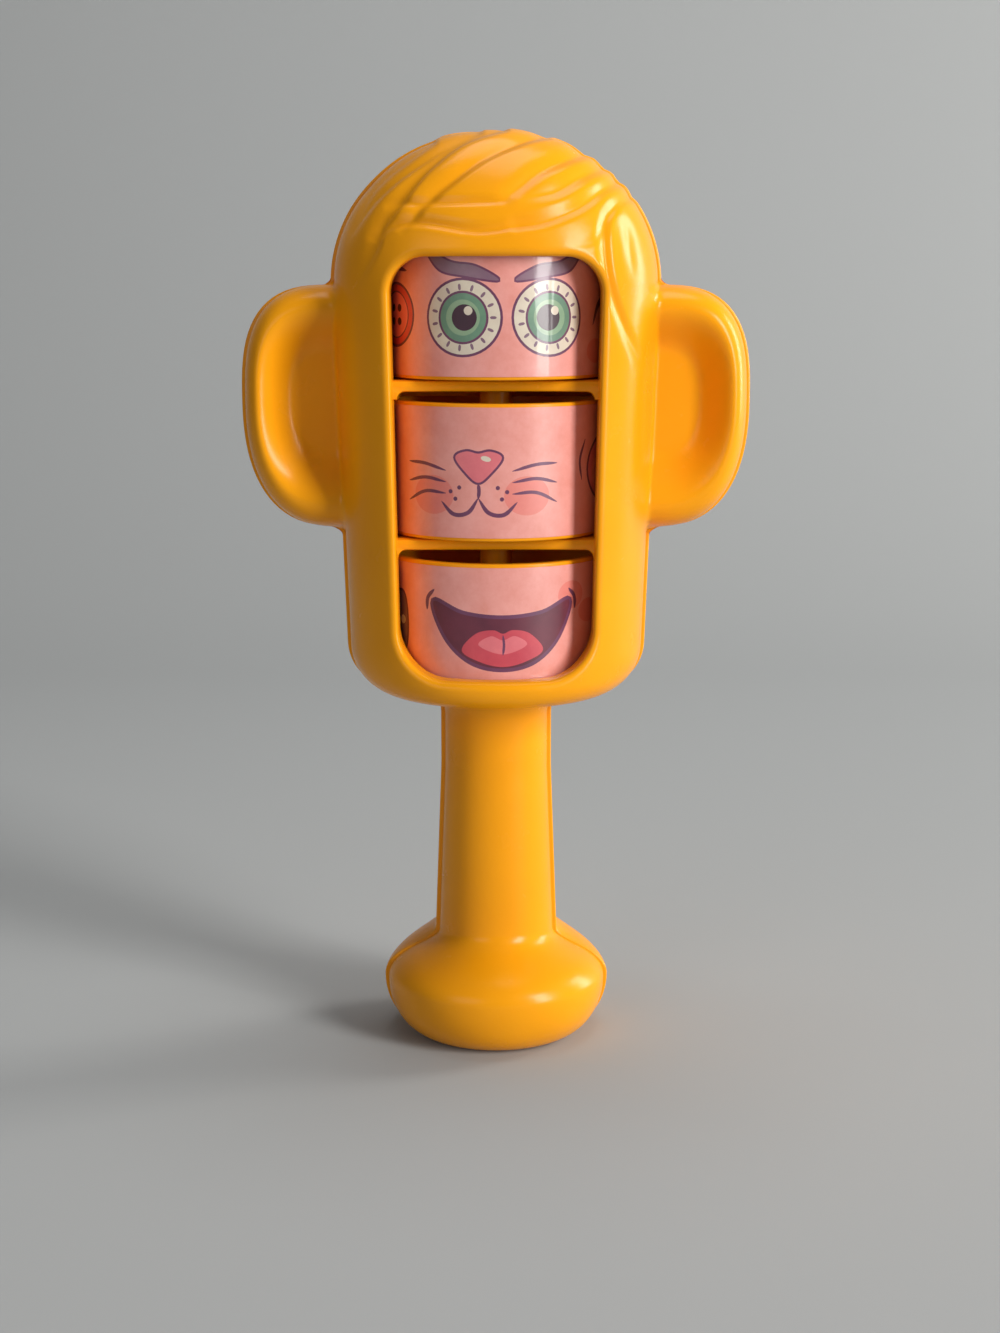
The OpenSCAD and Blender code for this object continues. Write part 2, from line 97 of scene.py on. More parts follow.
# Head and drum well
HEAD_Z = FOOT_H + HANDLE_L
FLOOR_T = 1.7
FLOOR_Z = HEAD_Z + FLOOR_T
CEILING_Z = FLOOR_Z + 3 * PITCH - SHELF_T
DOME_DROP = 10.2
DOME_Z = CEILING_Z - DOME_DROP
DOME_H = 30.1
TOTAL_H = DOME_Z + DOME_H
HEAD_MIDDLE = 120.0
WELL_GAP = 0.6
WELL_R = FILM_R + WELL_GAP
FACE_WALL = 3.6
HALF_D = WELL_R + FACE_WALL
JAW = 7.8
HALF_W_LOW = WELL_R + JAW
TEMPLE = 10.6
HALF_W_TOP = WELL_R + TEMPLE
CORNER_SIDE = 9.5
CORNER_FRONT = 5.0
PLAN_POWER = 2.15
HEAD_FALL = 2.0
HEAD_BLEND = 0.5
SEAM_STEP = 0.8
SEAM_BLEND = 5.0
RIM_ROUND = 0.4

# Ears
EAR_MID = 58.1
EAR_Z = FLOOR_Z + EAR_MID
EAR_X = HALF_W_TOP
EAR_REACH = 18.2
EAR_UP = 22.2
EAR_DOWN = 26.2
EAR_POWER_UP = 2.8
EAR_POWER_DOWN = 2.45
EAR_FALL = 4.0
EAR_FADE = 1.2
EAR_ROUND = 3.6
EAR_ROUND_BACK = 6.48
EAR_EDGE = 1.6
EAR_BLEND = 5.0
EAR_BACK = 5.4
CUP_T = 2.6
RIM_T = 5.2
RIM_FROM = 0.4
RIM_TO = 0.8

# Window
SILL_H = 6.0
SILL_Z = HEAD_Z + SILL_H
WINDOW_DROP = 5.2
WINDOW_TOP = CEILING_Z - WINDOW_DROP
WINDOW_W_TOP = 20.4
WINDOW_W_LOW = 19.1
WINDOW_R_TOP = 7.0
WINDOW_R_LOW = 9.5
LIP_R = 1.8


def lerp(a, b, t):
    return a + (b - a) * t


def smooth(t):
    t = np.clip(t, 0, 1)
    return t * t * (3 - 2 * t)


def smax(a, b, k):
    """The larger of two, with a fillet of width k where they meet."""
    return np.maximum(a, b) + np.maximum(k - np.abs(a - b), 0) ** 2 / (4 * k)


def quarter(d, r):
    """Rise of a round edge of radius r, from 0 at the edge to 1, at distance d inside it."""
    return np.sqrt(np.maximum(1 - (1 - np.clip(d, 0, r) / r) ** 2, 0))


# Skin of the head: depth in front of and behind the seam at each place of the front view. Outside its outline
# a form falls away, so that its fillets end there.

def corner(z, r):
    d = np.maximum(HEAD_Z + r - z, 0)
    return r - np.sqrt(np.maximum(r * r - d * d, 0))


def dome(z):
    return np.sqrt(np.maximum(1 - (np.maximum(z - DOME_Z, 0) / DOME_H) ** 2, 0))


def half_w(z):
    side = lerp(HALF_W_LOW, HALF_W_TOP, (z - HEAD_Z) / (DOME_Z - HEAD_Z)) - corner(z, CORNER_SIDE)
    return np.where(z > DOME_Z, HALF_W_TOP * dome(z), side)


def half_y(z):
    return np.where(z > DOME_Z, HALF_D * dome(z), HALF_D - corner(z, CORNER_FRONT))


def ear_span(z):
    return np.where(z > EAR_Z, EAR_UP, EAR_DOWN)


def ear_power(z):
    return np.where(z > EAR_Z, EAR_POWER_UP, EAR_POWER_DOWN)


def ear_w(z):
    return np.abs(z - EAR_Z) / ear_span(z)


def ear_tip(z):
    w = ear_w(z)
    n = ear_power(z)
    inside = EAR_X + EAR_REACH * np.maximum(1 - np.minimum(w, 1) ** n, 0) ** (1 / n)
    return np.where(w < 1, inside, EAR_X - EAR_FALL * (w - 1) * ear_span(z))


def tip(z, step):
    return smax(half_w(z), ear_tip(z), SEAM_BLEND) - step


def ear_rho(x, z):
    n = ear_power(z)
    return ((np.maximum(x - EAR_X, 0) / EAR_REACH) ** n + ear_w(z) ** n) ** (1 / n)


def ear_inside(x, z, r):
    return quarter((1 - ear_rho(x, z)) * EAR_REACH, r)


def rim_share(rho):
    return smooth((rho - RIM_FROM) / (RIM_TO - RIM_FROM))


def ear_web(x, z, step):
    return EAR_EDGE * quarter(tip(z, step) - x, EAR_EDGE)


def ear_front(x, z):
    roll = (CUP_T + RIM_T * rim_share(ear_rho(x, z))) * ear_inside(x + SEAM_STEP, z, EAR_ROUND)
    return np.maximum(ear_web(x, z, SEAM_STEP), roll)


def ear_rear(x, z):
    return np.maximum(ear_web(x, z, 0), EAR_BACK * ear_inside(x, z, EAR_ROUND_BACK))


def head_depth(x, z, step):
    a = np.maximum(half_w(z) - step, 1e-6)
    u = np.minimum(x / a, 1)
    inside = half_y(z) * (1 - u ** PLAN_POWER) ** (1 / PLAN_POWER)
    return np.where(x < a, inside, -HEAD_FALL * (x - a))


def with_ear(head, ear, z):
    """Joins the ear to the head with a fillet that fades out above and below the ear."""
    here = np.clip((tip(z, 0) - half_w(z)) / EAR_FADE, 0, 1)
    return smax(head, lerp(-EAR_BLEND, ear, here), lerp(HEAD_BLEND, EAR_BLEND, here))


def front_depth(x, z):
    x = np.abs(x)
    return with_ear(head_depth(x, z, SEAM_STEP), ear_front(x, z), z)


def rear_depth(x, z):
    x = np.abs(x)
    return with_ear(head_depth(x, z, 0), ear_rear(x, z), z)


# Handle and foot: radius at each height and turn from the seam

def grip_r(z, turn, rise):
    top = FOOT_H + rise * np.sin(turn)
    blend = lerp(FOOT_BLEND, FOOT_BLEND_MID, np.sin(turn) ** 2)
    low = lerp(BASE_R, FOOT_R, quarter(z, FOOT_MID))
    share = np.clip((z - FOOT_MID) / (top - FOOT_MID), 0, 1)
    slope = (FOOT_R - HANDLE_R_LOW) * FOOT_POWER / (top - FOOT_MID)
    high = lerp(FOOT_R, HANDLE_R_LOW, share ** FOOT_POWER) - slope * np.maximum(z - top, 0)
    handle = lerp(HANDLE_R_LOW, HANDLE_R_TOP, np.clip((z - FOOT_H) / (HANDLE_L * HANDLE_TAPER), 0, 1))
    d = np.clip(z - HEAD_Z + NECK_BLEND, 0, NECK_BLEND)
    neck = NECK_BLEND - np.sqrt(NECK_BLEND ** 2 - d * d)
    return np.where(z < FOOT_MID, low, smax(high, handle, blend) + neck)


# Hair: V grooves along strands in the front view, drawn from the crown to the fringe. Each has the width of
# its wide flank, on the right of its direction, and of its steep one, then points (x, z, depth).
STRANDS = [
    (2.6, 1.4, [(-12.5, 182.6, 0.5), (-19, 177.9, 0.6), (-22.3, 175.2, 0.6), (-25.1, 171.8, 0.5),
                (-28.6, 164.5, 0)]),
    (2.6, 1.4, [(-3.5, 184.8, 0.6), (-11.6, 180.4, 0.7), (-16.7, 177.1, 0.8), (-20.7, 174, 0.75),
                (-24.3, 170.4, 0.65), (-29.3, 162.8, 0)]),
    (2.8, 1.4, [(1.5, 185.4, 0.6), (-6.3, 182.7, 0.75), (-12.5, 178, 0.9), (-15.4, 175, 1), (-18.8, 170.5, 1),
                (-21.7, 166.6, 0.8), (-22.6, 164.3, 0.7), (-23.4, 161.6, 0.55), (-27.6, 153.8, 0)]),
    (2.8, 1.4, [(10, 184.1, 0.6), (4.6, 182.4, 0.75), (-2.7, 179, 0.9), (-9.6, 173.9, 1), (-13.8, 170.3, 0.9),
                (-15.6, 168.2, 0.6), (-18.6, 164.8, 0)]),
    (3, 1.8, [(18, 180.9, 0.55), (15.7, 179.9, 0.65), (9.1, 176.9, 0.75), (4, 173, 0.6), (0.5, 170.4, 0)]),
    (3, 1.9, [(21.8, 178.2, 0.55), (17.2, 176.1, 0.65), (12.4, 173.3, 0.75), (9.5, 172.3, 0.6),
              (4, 171.2, 0)]),
    (2.4, 1.7, [(24.5, 175.6, 0.5), (20.7, 173.3, 0.65), (15.8, 169.8, 0.75), (9, 167.1, 0.7),
                (4.2, 166.3, 0.6)]),
    (1.9, 1.2, [(13, 168.4, 0), (9, 167.1, 0.4), (4.2, 166.3, 0.65), (-1.6, 165.4, 0.75), (-6.1, 165.6, 0.75),
                (-13.7, 166.8, 0.75), (-19.1, 166.5, 0.7), (-23, 164.2, 0.3)]),
    (1.3, 1.1, [(3, 171, 0), (-1, 170.8, 0.5), (-8.6, 170.7, 0.65), (-14.2, 170.7, 0.65), (-18.8, 170.6, 0.5),
                (-21.5, 169.6, 0)]),
    (2.2, 1.1, [(27.5, 172.4, 0.35), (23.9, 170.7, 0.4), (22.3, 169.2, 0.6), (21.2, 167.4, 0.7),
                (20.9, 164.8, 0.7), (21.1, 160.4, 0.65), (21.8, 156.1, 0.65), (23.1, 151.7, 0.6),
                (25, 147.2, 0.55), (26.9, 143.4, 0.4), (28.7, 138.5, 0)]),
    (1.6, 1.3, [(21.4, 168.2, 0.2), (20.2, 165.3, 0.35), (19.2, 163.8, 0.3), (17.2, 162.9, 0.2),
                (13, 162.6, 0)]),
    (1.6, 1.5, [(25, 168.5, 0), (25.6, 164.6, 0.25), (26, 160.5, 0.2), (26.8, 156, 0)]),
]
STRAND_STEPS = 12
GROOVE_ROUND = 0.25
GROOVE_POWER = 1.8
GROOVE_MAX = 1.15
HAIR_LOW = 134.0
HAIR_BEHIND = 2.0
HAIR_FADE = 12.0


def spline(points, steps):
    """A smooth curve through a few points, by Catmull and Rom."""
    p = np.array(points, float)
    p = np.vstack([2 * p[0] - p[1], p, 2 * p[-1] - p[-2]])
    t = np.linspace(0, 1, steps, endpoint=False)[:, None]
    parts = []
    for a, b, c, d in zip(p[:-3], p[1:-2], p[2:-1], p[3:]):
        parts.append(0.5 * (2 * b + (c - a) * t + (2 * a - 5 * b + 4 * c - d) * t ** 2
                            + (3 * b - a - 3 * c + d) * t ** 3))
    return np.vstack(parts + [p[-2:-1]])


def right_of(run):
    """Unit vectors to the right of some directions."""
    return np.stack([run[:, 1], -run[:, 0]], 1) / np.hypot(run[:, 0], run[:, 1])[:, None]


def from_line(place, line):
    """Distance, side and position along a line of points for each place."""
    best = np.full(len(place), 1e9)
    side = np.zeros(len(place))
    where = np.zeros(len(place))
    for i, (a, b) in enumerate(zip(line[:-1], line[1:])):
        run = b - a
        v = place - a
        t = np.clip(v @ run / (run @ run), 0, 1)
        off = v - t[:, None] * run
        dist = np.hypot(off[:, 0], off[:, 1])
        closer = dist < best
        best = np.where(closer, dist, best)
        side = np.where(closer, v[:, 0] * run[1] - v[:, 1] * run[0], side)
        where = np.where(closer, (i + t) / (len(line) - 1), where)
    return best, side, where


def hair_groove(x, z):
    """Depth of the hair's grooves at places of the front view, joined softly where they meet."""
    groove = np.zeros_like(x)
    near = np.nonzero(z > HAIR_LOW)[0]
    place = np.stack([x[near], z[near]], 1)
    for wide, steep, points in STRANDS:
        line = spline(points, STRAND_STEPS)
        best, side, where = from_line(place, line[:, :2])
        depth = np.interp(where, np.linspace(0, 1, len(line)), line[:, 2])
        bottom = GROOVE_ROUND * steep
        away = np.hypot(best, bottom) - bottom
        flank = np.clip(1 - away / np.where(side > 0, wide, steep), 0, 1)
        cut = np.maximum(depth, 0) * flank ** GROOVE_POWER
        groove[near] += cut * (1 - groove[near] / GROOVE_MAX)
    return groove


# Layout of the shells' meshes: columns run round the window and out to the seam, rings lie across them.
# Bottom and top have equal numbers of columns, because rows from side to side fill the back of the head.

COLUMNS = {"bottom": 90, "low": 26, "side_low": 36, "side_ear": 100, "side_top": 18, "top_corner": 64,
           "top": 90}
SIDE_ORDER = ["low", "side_low", "side_ear", "side_top", "top_corner"]
EAR_JOIN_LOW = 105.6
EAR_JOIN_TOP = 156.6
SIDE_TOP = 161.0
SIDE_LOW_END = 111.0
SIDE_EAR_END = 150.0
CROWN_ANGLE = 68.0
TURN_WEIGHT = 6.0
WELL_STOPS = [FLOOR_Z, 82.0, 107.7, 154.5, 158.0, CEILING_Z]
FRONT_RINGS = 112
REAR_RINGS = 60
REAR_THIN = 2
LIP_STEPS = 8
WELL_STEPS = 24
CHIN_STEPS = 9
NECK_ROWS = 10
HANDLE_ROWS = 30
FOOT_ROWS = 44
BASE_ROWS = 26


def counts(thin):
    """Columns on each stretch, thinned by a whole number."""
    return {name: n // thin for name, n in COLUMNS.items()}


def shares(name, thin):
    """How far along its stretch each column stands, from 0 up to 1 and without the end."""
    count = counts(thin)[name]
    return np.arange(count) / count


def level(x, z):
    """Places of the front view at one height."""
    return np.stack([x, np.full_like(x, z)], 1)


def window_outline(grow, thin):
    """The window grown by some width, clockwise as seen from the front, from the right end of its sill."""
    wt, wl = WINDOW_W_TOP + grow, WINDOW_W_LOW + grow
    rt, rl = WINDOW_R_TOP + grow, WINDOW_R_LOW + grow
    low = SILL_Z - grow + rl
    high = WINDOW_TOP + grow - rt
    a = math.pi * shares("low", thin) / 2
    low_arc = np.stack([wl - rl + rl * np.sin(a), low - rl * np.cos(a)], 1)
    zs = np.concatenate([lerp(low, SIDE_LOW_END, shares("side_low", thin)),
                         lerp(SIDE_LOW_END, SIDE_EAR_END, shares("side_ear", thin)),
                         lerp(SIDE_EAR_END, high, shares("side_top", thin))])
    side = np.stack([lerp(wl, wt, (zs - low) / (high - low)), zs], 1)
    a = math.pi * shares("top_corner", thin) / 2
    top_arc = np.stack([wt - rt + rt * np.cos(a), high + rt * np.sin(a)], 1)
    right = np.vstack([low_arc, side, top_arc, [[wt - rt, high + rt]]])
    left = right * [-1, 1]
    bottom = level(lerp(wl - rl, rl - wl, shares("bottom", thin)), low - rl)
    top = level(lerp(rt - wt, wt - rt, shares("top", thin)), high + rt)
    return np.vstack([bottom, left[:-1], top, right[:0:-1]])


def along(path, count):
    """Points along a path, closer together where it turns, without its last point."""
    run = np.diff(path, axis=0)
    heading = np.unwrap(np.arctan2(run[:, 1], run[:, 0]))
    turn = np.abs(np.diff(heading, prepend=heading[0]))
    measure = np.concatenate([[0], np.cumsum(np.hypot(*run.T) + TURN_WEIGHT * turn)])
    at = np.arange(count) / count * measure[-1]
    return np.stack([np.interp(at, measure, path[:, 0]), np.interp(at, measure, path[:, 1])], 1)


def seam_path(low, high, step):
    """The seam's outline on the right side between two heights."""
    t = np.linspace(0, math.pi / 2, 400)
    z = np.unique(np.concatenate([[low, high], HEAD_Z + CORNER_SIDE * (1 - np.cos(t)),
                                  np.linspace(HEAD_Z + CORNER_SIDE, DOME_Z, 6000),
                                  DOME_Z + DOME_H * np.sin(t)]))
    z = z[(z >= low) & (z <= high)]
    return np.stack([tip(z, step), z], 1)


def seam_outline(step, thin):
    """Places at the seam, and under the chin at the foot of the head, that belong to the window's places."""
    n = counts(thin)
    crown_z = DOME_Z + DOME_H * math.sin(math.radians(CROWN_ANGLE))
    stops = [HEAD_Z, HEAD_Z + CORNER_SIDE, EAR_JOIN_LOW, EAR_JOIN_TOP, SIDE_TOP, crown_z]
    parts = [along(seam_path(a, b, step), n[name]) for name, a, b in zip(SIDE_ORDER, stops, stops[1:])]
    crown = np.array([[tip(np.array(crown_z), step), crown_z]])
    right = np.vstack(parts + [crown])
    left = right * [-1, 1]
    bottom = level(right[0, 0] * np.cos(math.pi * shares("bottom", thin)), HEAD_Z)
    arch = seam_path(crown_z, TOTAL_H, step)
    arch = np.vstack([arch[arch[:, 0] > 0], [[0, TOTAL_H]]])
    over = np.vstack([arch * [-1, 1], arch[-2::-1]])
    top = along(over, n["top"])
    return np.vstack([bottom, left[:-1], top, right[:0:-1]])


def underside(outer, step, thin):
    """Depth of the foot of the head under the chin, for the columns of the sill."""
    x = outer[:counts(thin)["bottom"] + 1, 0]
    return head_depth(np.abs(x), np.full_like(x, HEAD_Z), step)


def new_object(name, data):
    made = bpy.data.objects.new(name, data)
    bpy.context.scene.collection.objects.link(made)
    return made


class Mesh:
    """Collects points and faces of one piece."""

    def __init__(self):
        self.points = []
        self.faces = []
        self.size = 0

    def add(self, points):
        points = np.asarray(points, float).reshape(-1, 3)
        self.points.append(points)
        self.size += len(points)
        return np.arange(self.size - len(points), self.size)

    def add_rows(self, rows):
        return np.array([self.add(row) for row in rows])

    def grid(self, index, wrap=False, flip=False):
        """Quads between the rows of an array of point numbers."""
        a = index if not wrap else np.concatenate([index, index[:, :1]], 1)
        quads = np.stack([a[:-1, :-1], a[:-1, 1:], a[1:, 1:], a[1:, :-1]], -1).reshape(-1, 4)
        if flip:
            quads = quads[:, ::-1]
        self.faces.extend(tuple(dict.fromkeys(q)) for q in quads.tolist())

    def face(self, index):
        self.faces.append(tuple(int(i) for i in index))

    def build(self, name, sharp=40):
        data = bpy.data.meshes.new(name)
        points = np.vstack(self.points) * MM
        data.from_pydata(points.tolist(), [], [f for f in self.faces if len(f) > 2])
        data.validate()
        solid = bmesh.new()
        solid.from_mesh(data)
        bmesh.ops.remove_doubles(solid, verts=solid.verts, dist=1e-7)
        bmesh.ops.recalc_face_normals(solid, faces=solid.faces)
        solid.to_mesh(data)
        solid.free()
        data.polygons.foreach_set("use_smooth", np.ones(len(data.polygons), bool))
        data.set_sharp_from_angle(angle=math.radians(sharp))
        data.update()
        return new_object(name, data)


def unit(vectors):
    return vectors / np.maximum(np.linalg.norm(vectors, axis=2, keepdims=True), 1e-9)


def normals_of(grid):
    """Unit normals of a grid of rings, pointing away from the middle of the head."""
    n = unit(np.cross(np.gradient(grid, axis=0), np.roll(grid, -1, 1) - np.roll(grid, 1, 1)))
    return n * np.sign(np.sum(n * (grid - [0, 0, HEAD_MIDDLE]), -1, keepdims=True))


def relax(grid, rounds):
    """Evens out a grid of rings a little between its first and last ring."""
    for _ in range(rounds):
        inner = grid[1:-1]
        mean = (grid[:-2] + grid[2:] + np.roll(inner, 1, 1) + np.roll(inner, -1, 1)) / 4
        grid = np.concatenate([grid[:1], lerp(inner, mean, 0.5), grid[-1:]])
    return grid


def skin_rings(inner, outer, depth, front, rings, under):
    """Rings of skin points from the window's outline to the seam, carved by the hair."""
    s = np.sin(np.linspace(0, math.pi / 2, rings + 1))[:, None, None]
    place = inner[None] + (outer - inner)[None] * s
    x, z = place[..., 0], place[..., 1]
    y = depth(x, z)
    y[-1] = 0
    y[-1, :len(under)] = under
    y = np.maximum(y, 0)
    grid = relax(np.stack([x, -y if front else y, z], -1), 2)
    carve = hair_groove(x.ravel(), z.ravel()).reshape(x.shape)
    if not front:
        carve = carve * (1 - smooth((y - HAIR_BEHIND) / HAIR_FADE))
    n = normals_of(grid)
    n[-1, len(under):, 1] = 0
    return grid - unit(n) * carve[..., None]


def rim_steps():
    """Inset and depth over the rounded edge of the rear shell's rim, from its side to the seam."""
    turn = np.radians([0, 30, 60, 90])
    return RIM_ROUND * np.stack([1 - np.cos(turn), 1 - np.sin(turn)], 1)


def rim_rings(ring, outline, n_bottom):
    """Rings over the rounded rim, which begins at the given ring. Under the chin they stay where they are."""
    columns = np.append(np.arange(n_bottom, len(ring)), 0)
    inward = right_of(np.gradient(outline[columns], axis=0))
    rings = []
    for inset, depth in rim_steps():
        made = ring.copy()
        made[columns, 0] += inward[:, 0] * inset
        made[columns, 1] = depth
        made[columns, 2] += inward[:, 1] * inset
        rings.append(made)
    return rings


def half_ring(radius, z, count, front):
    """Half a ring round the handle, with the rim's rounded edge at both ends of the rear half."""
    turn = math.pi * np.arange(count) / (count - 1)
    ring = np.stack([radius * np.cos(turn), radius * np.sin(turn), np.full(count, z)], 1)
    if front:
        return ring * [1, -1, 1]
    ring[[0, -1], 1] = RIM_ROUND
    edge = np.array([[ring[0, 0] - inset, depth, z] for inset, depth in rim_steps()[:0:-1]])
    return np.vstack([edge, ring, edge[::-1] * [-1, 1, 1]])


def handle_rings(under_curve, step, count, front):
    """Rings from the foot of the head over the neck, handle and foot to the middle of the base."""
    turn = math.pi * np.arange(count) / (count - 1)
    rise = 0 if front else FOOT_RISE
    flare = FOOT_H + rise + FOOT_FLARE
    zs = np.concatenate([
        HEAD_Z - NECK_BLEND * (1 - np.cos(np.linspace(0, math.pi / 2, NECK_ROWS))),
        np.linspace(HEAD_Z - NECK_BLEND, flare, HANDLE_ROWS)[1:],
        np.linspace(flare, FOOT_MID, FOOT_ROWS)[1:],
        FOOT_MID * (1 - np.sin(np.linspace(0, math.pi / 2, BASE_ROWS)))[1:]])
    rows = []
    neck = half_ring(grip_r(np.array(HEAD_Z), turn, rise) - step, HEAD_Z, count, front)
    for t in np.linspace(0, 1, CHIN_STEPS + 1)[1:-1]:
        rows.append(lerp(under_curve, neck, t))
    for z in zs:
        r = grip_r(np.array(z), turn, rise) - (step if z > 0 else 0)
        rows.append(half_ring(r, z, count, front))
    for t in BASE_RINGS:
        rows.append(half_ring(BASE_R * t, 0, count, front))
    return np.array(rows)


def close_handle(mesh, under, rows, floor_line, flip):
    """Faces of the handle's grid, its base and the flat of the seam across it."""
    grid = np.vstack([under[None], rows])
    mesh.grid(grid, flip=flip)
    middle = mesh.add([[0, 0, 0]])[0]
    last = rows[-1]
    for a, b in zip(last[:-1], last[1:]):
        mesh.face((a, b, middle)[::-1] if flip else (a, b, middle))
    head = np.concatenate([floor_line, grid[:CHIN_STEPS + 1, -1], grid[CHIN_STEPS::-1, 0]])
    mesh.face(head if flip else head[::-1])
    for a, b in zip(grid[CHIN_STEPS:-1], grid[CHIN_STEPS + 1:]):
        mesh.face((a[0], a[-1], b[-1], b[0]) if flip else (b[0], b[-1], a[-1], a[0]))
    end = grid[-1]
    mesh.face((end[0], end[-1], middle) if flip else (middle, end[-1], end[0]))


def well_outline(thin):
    """The drum well's edge in the plane of the seam, for each column."""
    parts = [lerp(a, b, shares(name, thin)) for name, a, b in zip(SIDE_ORDER, WELL_STOPS, WELL_STOPS[1:])]
    up = np.concatenate(parts + [[CEILING_Z]])
    right = np.stack([np.full_like(up, WELL_R), up], 1)
    left = right * [-1, 1]
    bottom = level(lerp(WELL_R, -WELL_R, shares("bottom", thin)), FLOOR_Z)
    top = level(lerp(-WELL_R, WELL_R, shares("top", thin)), CEILING_Z)
    return np.vstack([bottom, left[:-1], top, right[:0:-1]])


def at_depth(spots, y):
    """Points at some depths from places of the front view."""
    return np.stack([spots[:, 0], np.broadcast_to(y, len(spots)), spots[:, 1]], 1)


def well_y(x):
    return np.sqrt(np.maximum(WELL_R ** 2 - x * x, 0))


def shelf_profile():
    """A shelf from the front: flat, with filleted ends that run into the window's walls."""
    end = WELL_R + SHELF_TUCK
    inner = WINDOW_W_LOW + FILLET_TUCK
    turn = np.linspace(0, math.pi / 2, 7)
    fillet = np.stack([inner - SHELF_FILLET * (1 - np.cos(turn)), -SHELF_FILLET * (1 - np.sin(turn))], 1)
    right = np.vstack([[[end, SHELF_T], [end, -SHELF_FILLET]], fillet])
    return np.vstack([right, right[::-1] * [-1, 1]])


def add_shelves(mesh, front):
    """Both shelves, from the seam to their rounded front edge or to the back of the well."""
    profile = shelf_profile()
    edge = [(WELL_R - SHELF_BACK_GAP, 0)]
    if front:
        edge = [(SHELF_FRONT - setback, inset) for setback, inset in SHELF_EDGE]
    for i in (1, 2):
        base = FLOOR_Z + i * PITCH - SHELF_T
        rows = []
        for depth, inset in [(0, 0)] + edge:
            shape = profile.copy()
            shape[:, 1] = np.clip(shape[:, 1], None, SHELF_T - inset)
            shape[:, 1] += np.where(profile[:, 1] < SHELF_T, inset, 0)
            y = np.full(len(shape), -depth if front else depth)
            if not front:
                y = np.minimum(y, well_y(np.minimum(np.abs(shape[:, 0]), WELL_R)) + SHELF_BACK_TUCK)
            rows.append(np.stack([shape[:, 0], y, base + shape[:, 1]], 1))
        index = mesh.add_rows(rows)
        mesh.grid(index, wrap=True, flip=front)
        mesh.face(index[0] if front else index[0][::-1])
        mesh.face(index[-1][::-1] if front else index[-1])


def front_piece():
    """The front shell: skin with hair and ears, window lip and flange, drum well, handle and foot."""
    mesh = Mesh()
    outer = seam_outline(SEAM_STEP, 1)
    n_bottom = counts(1)["bottom"]
    under = underside(outer, SEAM_STEP, 1)
    lip_edge = window_outline(LIP_R, 1)
    skin = skin_rings(lip_edge, outer, front_depth, True, FRONT_RINGS, under)
    lip = []
    for a in np.radians(np.linspace(0, 90, LIP_STEPS + 1)[:-1]):
        edge = window_outline(LIP_R * (1 - math.cos(a)), 1)
        y = front_depth(edge[:, 0], edge[:, 1]) - LIP_R * (1 - math.sin(a))
        lip.append(at_depth(edge, -y))
    edge = window_outline(0, 1)
    flange = at_depth(edge, -well_y(edge[:, 0]))
    walls = [lerp(flange, lip[0], t) for t in (0, 0.5)]
    outline = well_outline(1)
    well = []
    for t in (1, 0.5):
        spot = lerp(edge, outline, t)
        well.append(at_depth(spot, -well_y(spot[:, 0])))
    index = mesh.add_rows([at_depth(outline, 0)] + well + walls + lip + list(skin))
    mesh.grid(index, wrap=True)
    seam = np.stack([index[-1], index[0]])
    mesh.grid(np.concatenate([seam[:, n_bottom:], seam[:, :1]], 1))
    under_index = index[-1][:n_bottom + 1]
    grip_index = mesh.add_rows(handle_rings(skin[-1][:n_bottom + 1], SEAM_STEP, n_bottom + 1, True))
    close_handle(mesh, under_index, grip_index, index[0][:n_bottom + 1], False)
    add_shelves(mesh, True)
    return mesh.build("front_moulding")


def rear_piece():
    """The rear shell: plain back of head and ears, proud rim at the seam, drum well, handle and foot."""
    mesh = Mesh()
    outer = seam_outline(0, REAR_THIN)
    n = counts(REAR_THIN)
    n_bottom = n["bottom"]
    under = underside(outer, 0, REAR_THIN)
    inner = window_outline(LIP_R, REAR_THIN)
    skin = skin_rings(inner, outer, rear_depth, False, REAR_RINGS, under)
    rim = rim_rings(skin[-1], outer, n_bottom)
    outline = well_outline(REAR_THIN)
    index = mesh.add_rows([at_depth(outline, 0)] + list(skin[:-1]) + rim)
    mesh.grid(index[1:], wrap=True, flip=True)
    seam = np.stack([index[-1], index[0]])
    mesh.grid(np.concatenate([seam[:, n_bottom:], seam[:, :1]], 1), flip=True)
    fill_middle(mesh, inner, index[1], n, rear_depth)
    fill_well(mesh, outline, index[0], n)
    edge = index[:-len(rim):-1]
    under_index = np.concatenate([edge[:, 0], index[-len(rim)][:n_bottom + 1], edge[::-1, n_bottom]])
    under_curve = np.vstack(mesh.points)[under_index]
    grip_index = mesh.add_rows(handle_rings(under_curve, 0, n_bottom + 1, False))
    close_handle(mesh, under_index, grip_index, index[0][:n_bottom + 1], True)
    add_shelves(mesh, False)
    return mesh.build("rear_moulding")


def side_pairs(n):
    """Column numbers of the left side from the bottom up, and of the right side at the same heights."""
    side = sum(n[name] for name in SIDE_ORDER)
    left = np.arange(n["bottom"], n["bottom"] + side + 1)
    total = n["bottom"] + 2 * side + n["top"]
    right = np.arange(total, n["bottom"] + side + n["top"] - 1, -1) % total
    return left, right


def fill_middle(mesh, place, index, n, depth):
    """Fills the back of the head inside the ring of columns with rows from side to side."""
    left, right = side_pairs(n)
    count = n["bottom"]
    t = np.arange(1, count)[:, None] / count
    rows = [np.concatenate([[index[left[0]]], index[count - 1:0:-1], [index[right[0]]]])]
    for a, b in zip(left[1:-1], right[1:-1]):
        spot = lerp(place[a], place[b], t)
        made = mesh.add(at_depth(spot, depth(spot[:, 0], spot[:, 1])))
        rows.append(np.concatenate([[index[a]], made, [index[b]]]))
    rows.append(index[left[-1]:left[-1] + n["top"] + 1])
    mesh.grid(np.array(rows), flip=True)


